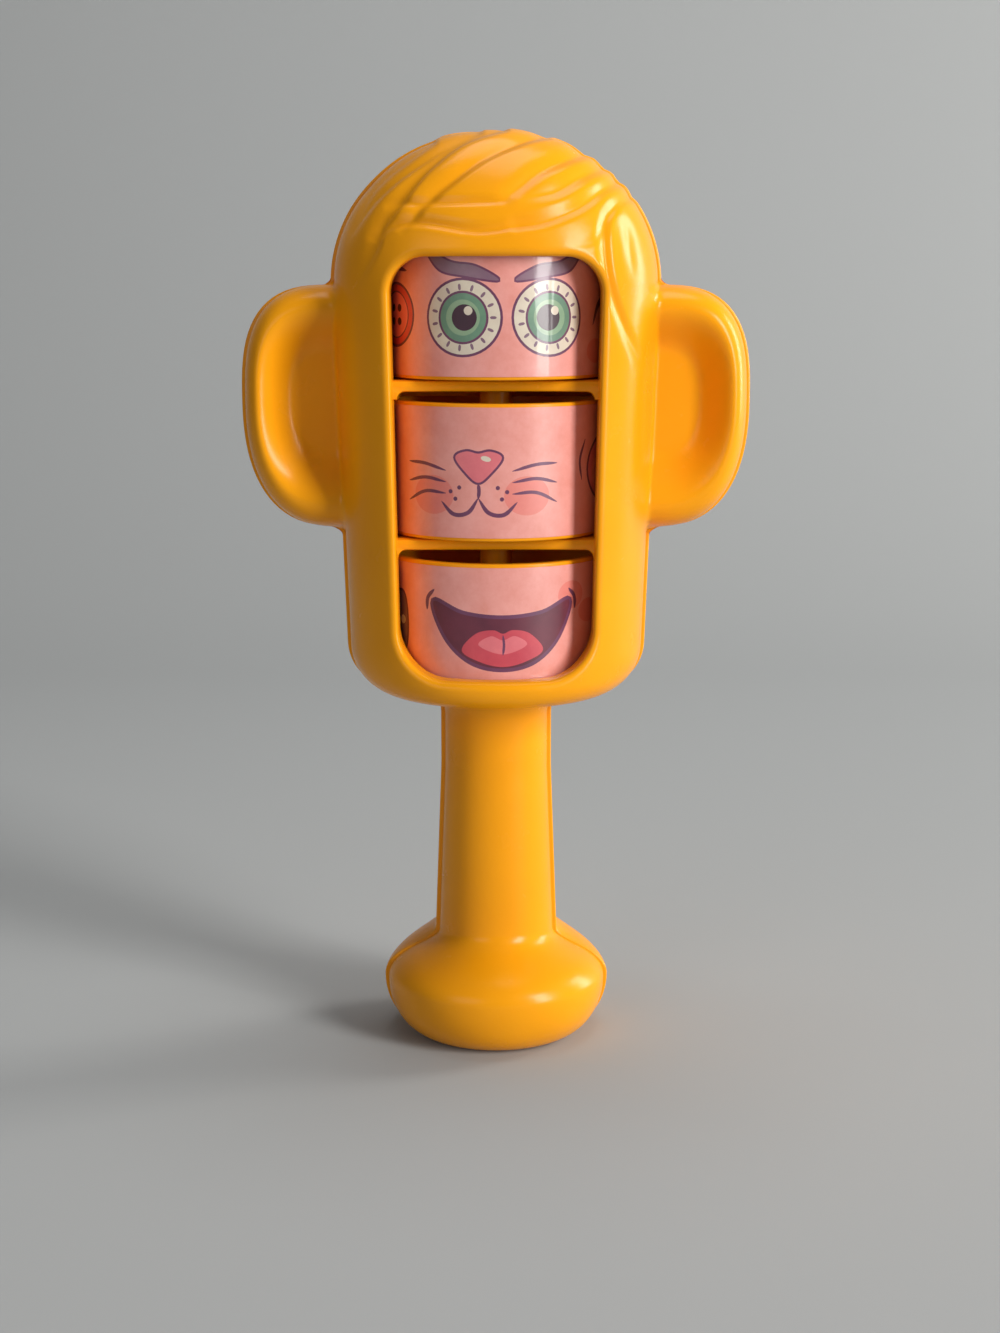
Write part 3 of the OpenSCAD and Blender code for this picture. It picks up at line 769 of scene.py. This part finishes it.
def fill_well(mesh, outline, index, n):
    """The rear half of the drum well: a half cylinder with its floor and ceiling."""
    left, right = side_pairs(n)
    turn = math.pi * np.arange(1, WELL_STEPS) / WELL_STEPS
    rows = []
    for a, b in zip(left, right):
        arc = np.stack([-WELL_R * np.cos(turn), WELL_R * np.sin(turn), np.full_like(turn, outline[a, 1])], 1)
        rows.append(np.concatenate([[index[a]], mesh.add(arc), [index[b]]]))
    mesh.grid(np.array(rows))
    mesh.face(np.concatenate([rows[0], index[1:n["bottom"]]]))
    top = index[left[-1] + 1:left[-1] + n["top"]]
    mesh.face(np.concatenate([rows[-1][::-1], top]))


# Materials

def new_material(name):
    made = bpy.data.materials.new(name)
    made.use_nodes = True
    return made, made.node_tree, made.node_tree.nodes["Principled BSDF"]


def noise(tree, vector, scale, detail=2, roughness=0.5):
    """A noise texture over the given coordinates."""
    made = tree.nodes.new("ShaderNodeTexNoise")
    made.inputs["Scale"].default_value = scale
    made.inputs["Detail"].default_value = detail
    made.inputs["Roughness"].default_value = roughness
    tree.links.new(vector, made.inputs["Vector"])
    return made.outputs["Fac"]


def two_tone(tree, share, deep, light, spread):
    """A colour that a texture mixes from two, within some spread of the texture's middle."""
    ramp = tree.nodes.new("ShaderNodeValToRGB")
    low, high = ramp.color_ramp.elements
    low.color = (*deep, 1)
    low.position = 0.5 - spread
    high.color = (*light, 1)
    high.position = 0.5 + spread
    tree.links.new(share, ramp.inputs["Fac"])
    return ramp.outputs["Color"]


def relief(tree, height, strength, distance):
    """A normal that a texture tilts as a relief of some depth, in metres."""
    bump = tree.nodes.new("ShaderNodeBump")
    bump.inputs["Strength"].default_value = strength
    bump.inputs["Distance"].default_value = distance
    tree.links.new(height, bump.inputs["Height"])
    return bump.outputs["Normal"]


def plastic(name, light, deep, roughness):
    """Glossy moulded plastic with slight clouding, fine grain and rubbed patches."""
    made, tree, shader = new_material(name)
    where = tree.nodes.new("ShaderNodeTexCoord").outputs["Object"]
    cloud = noise(tree, where, 45, 3)
    tree.links.new(two_tone(tree, cloud, deep, light, 0.2), shader.inputs["Base Color"])
    spread = tree.nodes.new("ShaderNodeMapRange")
    spread.inputs["To Min"].default_value = roughness - 0.06
    spread.inputs["To Max"].default_value = roughness + 0.08
    tree.links.new(noise(tree, where, 160, 6), spread.inputs["Value"])
    tree.links.new(spread.outputs["Result"], shader.inputs["Roughness"])
    tree.links.new(relief(tree, noise(tree, where, 900), 0.05, 0.0003), shader.inputs["Normal"])
    shader.inputs["Specular IOR Level"].default_value = 0.22
    return made


yellow = plastic("yellow_plastic", (0.94, 0.37, 0.006), (0.89, 0.34, 0.005), 0.24)
drum_yellow = plastic("drum_plastic", (0.93, 0.36, 0.006), (0.86, 0.32, 0.005), 0.3)
bead_grey = plastic("bead_plastic", (0.62, 0.6, 0.52), (0.55, 0.52, 0.45), 0.4)


def dress(piece, *materials):
    for m in materials:
        piece.data.materials.append(m)


def settle(piece, node, body, slot, *materials):
    """Dresses a piece and puts it in the place of a solid's node."""
    dress(piece, *materials)
    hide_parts(node)
    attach(piece, body)


settle(front_piece(), "front_shell", "housing", "yellow_plastic", yellow)
settle(rear_piece(), "rear_shell", "housing", "yellow_plastic", yellow)


# Drums, axle and beads

DRUM_SEGMENTS = 144
AXLE_SEGMENTS = 48
AXLE_LOW = FLOOR_Z - AXLE_SEAT
AXLE_TOP = CEILING_Z + AXLE_OVER
BEAD_D = 5.0
BEAD_Z = 4.8
BEAD_STEP = 5.3
BEAD_RIDGE = 0.05
BEAD_SEGMENTS = 32


def rounded(points, radius):
    """A closed profile with its corners rounded."""
    points = np.array(points, float)
    made = []
    for before, here, after in zip(np.roll(points, 1, 0), points, np.roll(points, -1, 0)):
        a = (before - here) / np.linalg.norm(before - here) * radius
        b = (after - here) / np.linalg.norm(after - here) * radius
        for t in np.linspace(0, 1, 6):
            made.append(here + a * (1 - t) ** 2 + b * t ** 2)
    return np.array(made)


def circle(r, z, count, x=0, y=0):
    """Points of a level circle."""
    turn = 2 * math.pi * np.arange(count) / count
    return np.stack([x + r * np.cos(turn), y + r * np.sin(turn), np.full(count, z)], 1)


def drum_piece(name, base):
    """An open-topped drum with its hub, turned from a profile with rounded corners."""
    inside = DRUM_R - DRUM_WALL
    profile = rounded([(BORE_R, 0), (DRUM_R, 0), (DRUM_R, DRUM_H), (inside, DRUM_H), (inside, DRUM_WEB),
                       (HUB_R, DRUM_WEB), (HUB_R, HUB_H), (BORE_R, HUB_H)], DRUM_EDGE)
    mesh = Mesh()
    index = mesh.add_rows([circle(r, z + base, DRUM_SEGMENTS) for r, z in profile])
    mesh.grid(np.concatenate([index, index[:1]]), wrap=True)
    return mesh.build(name, 60)


def add_turned(mesh, profile, count, x=0, y=0):
    """A turned solid round an upright line, from a profile that starts and ends on the line."""
    (_, low), *middle, (_, high) = profile
    rows = [np.full(count, mesh.add([[x, y, low]])[0])]
    rows += [mesh.add(circle(r, z, count, x, y)) for r, z in middle]
    rows.append(np.full(count, mesh.add([[x, y, high]])[0]))
    mesh.grid(np.array(rows), wrap=True)


def axle_piece():
    end = AXLE_R - AXLE_EDGE
    profile = [(0, AXLE_LOW), (end, AXLE_LOW), (AXLE_R, AXLE_LOW + AXLE_EDGE), (AXLE_R, AXLE_TOP - AXLE_EDGE),
               (end, AXLE_TOP), (0, AXLE_TOP)]
    mesh = Mesh()
    add_turned(mesh, profile, AXLE_SEGMENTS)
    return mesh.build("axle_post")


def beads_piece():
    """Seven pellets, each with a fine ridge where its mould closed."""
    r = BEAD_D / 2
    profile = [(0, BEAD_Z - r)]
    for t in np.radians(np.linspace(-90, 90, 21)[1:-1]):
        ridge = 0 if abs(t) < 0.01 else BEAD_RIDGE
        profile.append((r * math.cos(t) - ridge, BEAD_Z + r * math.sin(t)))
    profile.append((0, BEAD_Z + r))
    mesh = Mesh()
    add_turned(mesh, profile, BEAD_SEGMENTS)
    for a in np.radians(np.arange(0, 360, 60)):
        add_turned(mesh, profile, BEAD_SEGMENTS, BEAD_STEP * math.cos(a), BEAD_STEP * math.sin(a))
    return mesh.build("pellets", 60)


DRUMS = [("mouth", "mouth"), ("nose", "nose"), ("eye", "eyes")]
for storey, (name, body) in enumerate(DRUMS):
    drum = drum_piece(name + "_roller", FLOOR_Z + storey * PITCH + DRUM_GAP)
    settle(drum, name + "_drum", body, "drum_plastic", drum_yellow)
settle(axle_piece(), "axle", "housing", "yellow_plastic", drum_yellow)
settle(beads_piece(), "rattle_beads", "beads", "bead_plastic", bead_grey)


# Printed wraps: flat shapes in ink, laid on a sheet as long as the drum is round

SHEET = 2 * math.pi * FILM_R
SECTOR = SHEET / 4
FIRST_MOTIF = 1.5
SHEET_COLUMNS = 132
SHEET_ROWS = 10


def disc(x, y, rx, ry=None, tilt=0, steps=40):
    a = 2 * math.pi * np.arange(steps) / steps
    p = np.stack([rx * np.cos(a), (ry or rx) * np.sin(a)], 1)
    c, s = math.cos(math.radians(tilt)), math.sin(math.radians(tilt))
    return p @ np.array([[c, s], [-s, c]]) + [x, y]


def blob(points, steps=7):
    """A closed smooth shape through some points."""
    p = np.array(points, float)
    looped = np.vstack([p[-1:], p, p[:2]])
    return spline(looped, steps)[steps:-steps - 1]


def turned_left(shape):
    """A closed shape with its points in counterclockwise order."""
    after = np.roll(shape, -1, 0)
    area = np.sum(shape[:, 0] * after[:, 1] - shape[:, 1] * after[:, 0])
    return shape if area > 0 else shape[::-1]


def grow(shape, width):
    """A closed shape offset outward."""
    shape = turned_left(shape)
    return shape + right_of(np.roll(shape, -1, 0) - np.roll(shape, 1, 0)) * width


def band(points, width, ends=0.25):
    """A brush stroke through some points, with pointed ends."""
    p = spline(points, 9)
    side = -right_of(np.gradient(p, axis=0))
    t = np.linspace(0, 1, len(p))
    half = width / 2 * np.sqrt(np.clip(np.minimum(t, 1 - t) / ends, 0.02, 1))[:, None]
    return np.vstack([p + side * half, (p - side * half)[::-1]])


def inked(shape, ink, line=0.45):
    return [("plum", grow(shape, line)), (ink, shape)]


def stroke(points, width, ink="plum"):
    return [(ink, band(points, width))]


def dot(ink, *sizes, **more):
    return [(ink, disc(*sizes, **more))]


def on_side(points, side):
    """Points as they are for side 1, and mirrored for side -1."""
    return [(x * side, y) for x, y in points]


def owl_eyes():
    art = []
    for side in (-1, 1):
        x = 8.6 * side
        art += inked(disc(x, -1.4, 7.3, 7), "cream", 0.5)
        for a in np.radians(np.arange(0, 360, 24)):
            c, s = math.cos(a), math.sin(a)
            art += stroke([(x + 5.3 * c, -1.4 + 5.1 * s), (x + 6.6 * c, -1.4 + 6.4 * s)], 0.55, "violet")
        art += inked(disc(x, -1.4, 4.6), "green", 0.45)
        art += dot("leaf", x, -1.4, 3.4)
        art += dot("dark", x - 0.3 * side, -1.4, 2.5)
        art += dot("cream", x + 1.1, -0.1, 0.85)
        tuft = [(1.6, 5.6), (6, 8.2), (11, 9), (16.2, 11.4), (13.4, 7.6), (8, 6.4)]
        art += inked(blob(on_side(tuft, side)), "violet", 0.4)
    return art


def happy_eyes():
    art = []
    for side in (-1, 1):
        x = 8.4 * side
        art += dot("blush", x + 4 * side, -8, 3.4, 2.4)
        art += stroke([(x - 5.2, -3), (x - 3, 0.6), (x, 1.9), (x + 3, 0.6), (x + 5.2, -3)], 1.3)
        art += stroke([(x - 3.6, 6.4), (x, 7.6), (x + 3.6, 6.4)], 1)
    return art


def panda_eyes():
    art = []
    for side in (-1, 1):
        x = 7.8 * side
        art += inked(disc(x + 0.8 * side, -1.6, 5, 6.8, 24 * side), "violet", 0.4)
        art += inked(disc(x, -0.6, 3), "cream", 0.35)
        art += dot("dark", x - 0.4 * side, -0.8, 1.9)
        art += dot("cream", x + 0.5, 0.1, 0.6)
    return art


def button_eyes():
    art = []
    for side in (-1, 1):
        x = 8.2 * side
        art += inked(disc(x, -1, 5.8), "red", 0.5)
        art += inked(disc(x, -1, 4.3), "rose", 0.3)
        for dx, dy in ((-1.3, -1.3), (1.3, -1.3), (-1.3, 1.3), (1.3, 1.3)):
            art += dot("dark", x + dx, dy - 1, 0.75)
        art += stroke([(x - 4, 7), (x, 8), (x + 4, 7.4)], 0.9)
    return art


def cat_nose():
    art = []
    for side in (-1, 1):
        art += dot("blush", 9.6 * side, -4.4, 4.6, 3.8)
    nose = [(-4.6, 3), (-2.4, 4.2), (0, 3.8), (2.4, 4.2), (4.6, 3), (2.4, 0), (0, -1.8), (-2.4, 0)]
    art += inked(blob(nose), "rose", 0.45)
    art += dot("cream", 1.5, 2.8, 1, 0.5, -14)
    art += stroke([(0, -2), (0.15, -3.4), (0, -5)], 0.7)
    for side in (-1, 1):
        lip = [(0, -4.8), (2, -7.6), (5, -8), (7.6, -5.6)]
        art += stroke(on_side(lip, side), 0.8)
        for k in range(3):
            hair = [(6.6, 0.4 - 2.2 * k), (11.4, 1.6 - 2.7 * k), (16, 1.8 - 3.8 * k)]
            art += stroke(on_side(hair, side), 0.65)
        for dx, dy in ((3.8, -2.8), (5.6, -3.6), (4.6, -5)):
            art += dot("plum", dx * side, dy, 0.42, steps=14)
    return art


def pig_snout():
    art = inked(disc(0, 0, 9.4, 7), "rose", 0.6)
    art += dot("blush", 0, -0.8, 8, 5.4)
    for side in (-1, 1):
        art += inked(disc(3.2 * side, 0.2, 1.6, 2.7), "dark", 0.3)
        art += stroke([(side * 10.5, 6), (side * 12.2, 2), (side * 11.6, -2)], 0.6)
    art += stroke([(-4, 9), (0, 9.8), (4, 9)], 0.7)
    return art


def dog_nose():
    art = inked(blob([(-11.6, -3), (-8, 4.4), (0, 7), (8, 4.4), (11.6, -3), (6, -9), (0, -7.2), (-6, -9)]),
                "cream", 0.5)
    art += inked(blob([(-5, 3.8), (0, 5.6), (5, 3.8), (3.2, 0.6), (0, -0.6), (-3.2, 0.6)]), "violet", 0.45)
    art += dot("cream", 1.6, 3.6, 1.1, 0.6, -16)
    art += stroke([(0, -0.8), (0.1, -4), (0, -7)], 0.8)
    for side in (-1, 1):
        for dx, dy in ((4.4, -2), (6.6, -3), (5, -4.6)):
            art += dot("plum", dx * side, dy, 0.45, steps=14)
    return art


def duck_bill():
    art = inked(blob([(-11.6, -1.4), (-5.4, 3.4), (0, 5.4), (5.4, 3.4), (11.6, -1.4), (7.4, -6), (0, -7.6),
                      (-7.4, -6)]), "amber", 0.5)
    art += stroke([(-10.8, -1.8), (-5, -1.4), (0, -2.8), (5, -1.4), (10.8, -1.8)], 0.8)
    for side in (-1, 1):
        art += stroke([(1.2 * side, 2.4), (2.2 * side, 3), (3.2 * side, 2.2)], 0.7)
    return art


def frog_smile():
    art = []
    for side in (-1, 1):
        art += dot("blush", 15 * side, 6.6, 3.4, 2.8)
    mouth = [(-14.4, 5.6), (-8, 3.4), (0, 2.6), (8, 3.4), (14.4, 5.6), (11.6, -1.2), (6.4, -5.8), (0, -7.2),
             (-6.4, -5.8), (-11.6, -1.2)]
    art += inked(blob(mouth), "wine", 0.75)
    tongue = [(-8.2, -3.8), (-5.4, -0.4), (-2, 0.4), (0, -0.3), (2, 0.4), (5.4, -0.4), (8.2, -3.8), (4.4, -6),
              (0, -6.9), (-4.4, -6)]
    art.append(("red", blob(tongue)))
    art.append(("rose", blob([(-4.8, -2.6), (-2.4, -0.8), (0, -1.6), (2.4, -0.8), (4.8, -2.6), (0, -4.4)])))
    art += stroke([(0, -0.6), (0.2, -2.6), (0, -4.6)], 0.5)
    for side in (-1, 1):
        dimple = [(14.2, 8), (15.8, 6.2), (16, 3.8)]
        art += stroke(on_side(dimple, side), 0.8)
    return art


def cat_smile():
    art = inked(blob([(-3.2, -0.6), (0, 0.2), (3.2, -0.6), (2.4, -5), (0, -6.2), (-2.4, -5)]), "red", 0.45)
    for side in (-1, 1):
        curl = [(0, 3), (2.6, -0.4), (7, -0.8), (11, 3.4)]
        art += stroke(on_side(curl, side), 1)
        art += dot("blush", 14 * side, 3, 3.2, 2.4)
    return art


def round_mouth():
    art = inked(disc(0, 1, 5.6, 6.2), "red", 0.6)
    art += inked(disc(0, 1.2, 3.6, 4.2), "wine", 0.4)
    for side in (-1, 1):
        art += stroke([(8.6 * side, 5), (9.8 * side, 1), (8.6 * side, -3)], 0.8)
    return art


def bow_tie():
    art = []
    for side in (-1, 1):
        wing = [(1.6, 1), (6, 5), (11, 6.4), (12.4, 0), (11, -5.4), (6, -3.6)]
        art += inked(blob(on_side(wing, side)), "violet", 0.5)
        for dx, dy in ((5, 1.4), (8.6, 3.6), (8.8, -1.6), (10.8, 1)):
            art += dot("cream", dx * side, dy, 0.9, steps=20)
    art += inked(disc(0, 0.6, 2.4, 2.9), "red", 0.5)
    return art


INKS = {
    "pink": ((0.84, 0.37, 0.33), (0.74, 0.27, 0.22)),
    "plum": ((0.17, 0.05, 0.115), (0.11, 0.03, 0.08)),
    "cream": ((0.74, 0.66, 0.52), (0.62, 0.52, 0.42)),
    "green": ((0.16, 0.3, 0.19), (0.1, 0.2, 0.14)),
    "leaf": ((0.3, 0.42, 0.26), (0.2, 0.33, 0.2)),
    "red": ((0.62, 0.075, 0.1), (0.52, 0.05, 0.08)),
    "rose": ((0.76, 0.19, 0.21), (0.66, 0.14, 0.17)),
    "blush": ((0.8, 0.25, 0.21), (0.72, 0.2, 0.17)),
    "violet": ((0.25, 0.14, 0.19), (0.18, 0.1, 0.15)),
    "dark": ((0.05, 0.012, 0.03), (0.035, 0.01, 0.02)),
    "wine": ((0.15, 0.022, 0.045), (0.1, 0.016, 0.035)),
    "amber": ((0.85, 0.4, 0.09), (0.78, 0.32, 0.06)),
}
INK_ORDER = list(INKS)
# For each drum: how far its print is turned at rest, and what stands on its four sides
PRINTS = {
    "eye": (2.2, [owl_eyes, happy_eyes, panda_eyes, button_eyes]),
    "nose": (-3.4, [cat_nose, pig_snout, dog_nose, duck_bill]),
    "mouth": (1.4, [frog_smile, cat_smile, round_mouth, bow_tie]),
}


def printed_film(name, light, deep):
    """Ink under a clear laminate: mottled print under a soft gloss with slight upright waves."""
    made, tree, shader = new_material("film_" + name)
    where = tree.nodes.new("ShaderNodeTexCoord").outputs["Object"]
    blotch = noise(tree, where, 130, 8, 0.7)
    tree.links.new(two_tone(tree, blotch, deep, light, 0.18), shader.inputs["Base Color"])
    shader.inputs["Roughness"].default_value = 0.4
    shader.inputs["Coat Weight"].default_value = 0.5
    shader.inputs["Coat Roughness"].default_value = 0.1
    upright = tree.nodes.new("ShaderNodeMapping")
    upright.inputs["Scale"].default_value = (1, 1, 0.12)
    tree.links.new(where, upright.inputs["Vector"])
    wave = noise(tree, upright.outputs["Vector"], 240)
    tree.links.new(relief(tree, wave, 0.45, 0.0006), shader.inputs["Coat Normal"])
    return made


def sheet_art(motifs):
    """All shapes of one sheet, the sheet itself first. The sheet's ends lie between two motifs."""
    half = SHEET / 2
    low, high = -FILM_H / 2, FILM_H / 2
    art = [("pink", np.array([(-half, low), (half, low), (half, high), (-half, high)]))]
    for k, motif in enumerate(motifs):
        for ink, shape in motif():
            laid = shape + [(k - FIRST_MOTIF) * SECTOR, 0]
            if np.all(np.abs(laid[:, 0]) < half):
                art.append((ink, turned_left(laid)))
    return art


def triangulate(art):
    """Triangles of a sheet and the ink on each."""
    spots = []
    for i in range(SHEET_COLUMNS + 1):
        for j in range(SHEET_ROWS + 1):
            spots.append((SHEET * (i / SHEET_COLUMNS - 0.5), FILM_H * (j / SHEET_ROWS - 0.5)))
    faces = []
    for _, shape in art:
        faces.append(list(range(len(spots), len(spots) + len(shape))))
        spots.extend(shape.tolist())
    points, _, triangles, _, _, origin = delaunay_2d_cdt([Vector(p) for p in spots], [], faces, 1, 1e-5, True)
    inks = [INK_ORDER.index(art[max(o)][0]) if o else 0 for o in origin]
    return np.array([p[:] for p in points]), triangles, inks


def close_film(made, points, back):
    """Adds a film's cut edges along its top and bottom, and its plain inside."""
    rim = []
    for e in made.edges:
        heights = [abs(points[v.index, 1]) for v in e.verts]
        if e.is_boundary and min(heights) > FILM_H / 2 - 0.01:
            rim.append(e)
    inner = {}
    for e in rim:
        for v in e.verts:
            if v.index not in inner:
                inner[v.index] = made.verts.new(back[v.index] * MM)
    for e in rim:
        a, b = e.verts
        made.faces.new([a, b, inner[b.index], inner[a.index]])
    levels = {}
    for i, v in inner.items():
        levels.setdefault(round(points[i, 0], 4), []).append((points[i, 1], v))
    stations = sorted(levels)
    for a, b in zip(stations[:-1], stations[1:]):
        low_a, high_a = [v for _, v in sorted(levels[a], key=lambda p: p[0])]
        low_b, high_b = [v for _, v in sorted(levels[b], key=lambda p: p[0])]
        made.faces.new([low_a, low_b, high_b, high_a])


def wrap_piece(name, middle):
    """A film round its drum, with its print outside."""
    turned, motifs = PRINTS[name]
    points, triangles, inks = triangulate(sheet_art(motifs))
    angle = (points[:, 0] + turned + FIRST_MOTIF * SECTOR) / FILM_R
    front = np.stack([FILM_R * np.sin(angle), -FILM_R * np.cos(angle), middle + points[:, 1]], 1)
    made = bmesh.new()
    outer = [made.verts.new(p * MM) for p in front]
    made.verts.index_update()
    for t, ink in zip(triangles, inks):
        face = made.faces.new([outer[i] for i in t])
        face.material_index = ink
    made.verts.ensure_lookup_table()
    close_film(made, points, front * [FILM_BACK / FILM_R, FILM_BACK / FILM_R, 1])
    bmesh.ops.remove_doubles(made, verts=made.verts, dist=1e-7)
    bmesh.ops.recalc_face_normals(made, faces=made.faces)
    data = bpy.data.meshes.new(name + "_wrap")
    made.to_mesh(data)
    made.free()
    radial_normals(data)
    return new_object(name + "_wrap", data)


def radial_normals(data):
    """Shades the outside of a wrap as a true cylinder and its edges flat."""
    normals = []
    for face in data.polygons:
        face.use_smooth = True
        flat = abs(face.normal.z) > 0.5
        for corner_index in face.vertices:
            spot = data.vertices[corner_index].co
            out = Vector((spot.x, spot.y, 0)).normalized()
            if out.dot(face.normal) <= 0:
                out.negate()
            normals.append(face.normal.copy() if flat else out)
    data.normals_split_custom_set(normals)


films = [printed_film(name, *INKS[name]) for name in INK_ORDER]
for storey, (name, body) in enumerate(DRUMS):
    middle = FLOOR_Z + storey * PITCH + DRUM_GAP + DRUM_H / 2
    settle(wrap_piece(name, middle), name + "_label", body, "printed_film", *films)


# Stage in millimetres; lamps and camera in metres. The camera's values are those that the arcs of the drums'
# rims in the photo give.

STAGE_HALF_W = 2500
STAGE_FRONT = -1500
STAGE_BACK = 900
STAGE_BEND = 500
STAGE_TOP = 2200
AIM = (0, 0, 0.12)
SENSOR = 36
LENS = 56.28
CAMERA_PLACE = (0.00082, -0.4229, 0.1569)
CAMERA_DOWN = 10.617


def stage():
    """A plain pale floor that bends up into a backdrop."""
    turn = np.linspace(0, math.pi / 2, 16)
    bend = np.stack([STAGE_BACK - STAGE_BEND * (1 - np.sin(turn)), STAGE_BEND * (1 - np.cos(turn))], 1)
    path = np.vstack([[[STAGE_FRONT, 0]], bend, [[STAGE_BACK, STAGE_TOP]]])
    mesh = Mesh()
    mesh.grid(mesh.add_rows([[[x, y, z] for x in (-STAGE_HALF_W, STAGE_HALF_W)] for y, z in path]))
    floor = mesh.build("floor", 60)
    made, _, shader = new_material("floor")
    shader.inputs["Base Color"].default_value = (0.4, 0.412, 0.415, 1)
    shader.inputs["Roughness"].default_value = 0.9
    shader.inputs["Specular IOR Level"].default_value = 0.05
    dress(floor, made)


def lamp(name, spot, size, power, color=(1, 1, 1)):
    """A soft rectangular lamp that faces the object."""
    data = bpy.data.lights.new(name, "AREA")
    data.shape = "RECTANGLE"
    data.size, data.size_y = size
    data.energy = power
    data.color = color
    light = new_object(name, data)
    light.location = spot
    light.rotation_euler = (Vector(AIM) - Vector(spot)).to_track_quat("-Z", "Y").to_euler()


stage()
lamp("key", (1.24, -1, 0.62), (0.44, 1.15), 30, (1, 0.98, 0.95))
lamp("side", (1.12, 0.42, 0.42), (0.3, 0.75), 9, (1, 0.97, 0.92))
lamp("fill", (-0.7, -1.1, 0.5), (0.7, 0.7), 2)
lamp("top", (0.05, 0.1, 0.95), (0.5, 0.5), 2.6)

world = bpy.data.worlds.new("studio")
world.use_nodes = True
sky = world.node_tree.nodes["Background"]
sky.inputs["Color"].default_value = (0.95, 0.97, 1, 1)
sky.inputs["Strength"].default_value = 0.12
scene = bpy.context.scene
scene.world = world
scene.view_settings.view_transform = "Standard"

camera = new_object("camera", bpy.data.cameras.new("camera"))
camera.data.sensor_width = SENSOR
camera.data.lens = LENS
camera.data.clip_start = 0.01
camera.location = CAMERA_PLACE
camera.rotation_euler = (math.radians(90 - CAMERA_DOWN), 0, 0)
scene.camera = camera
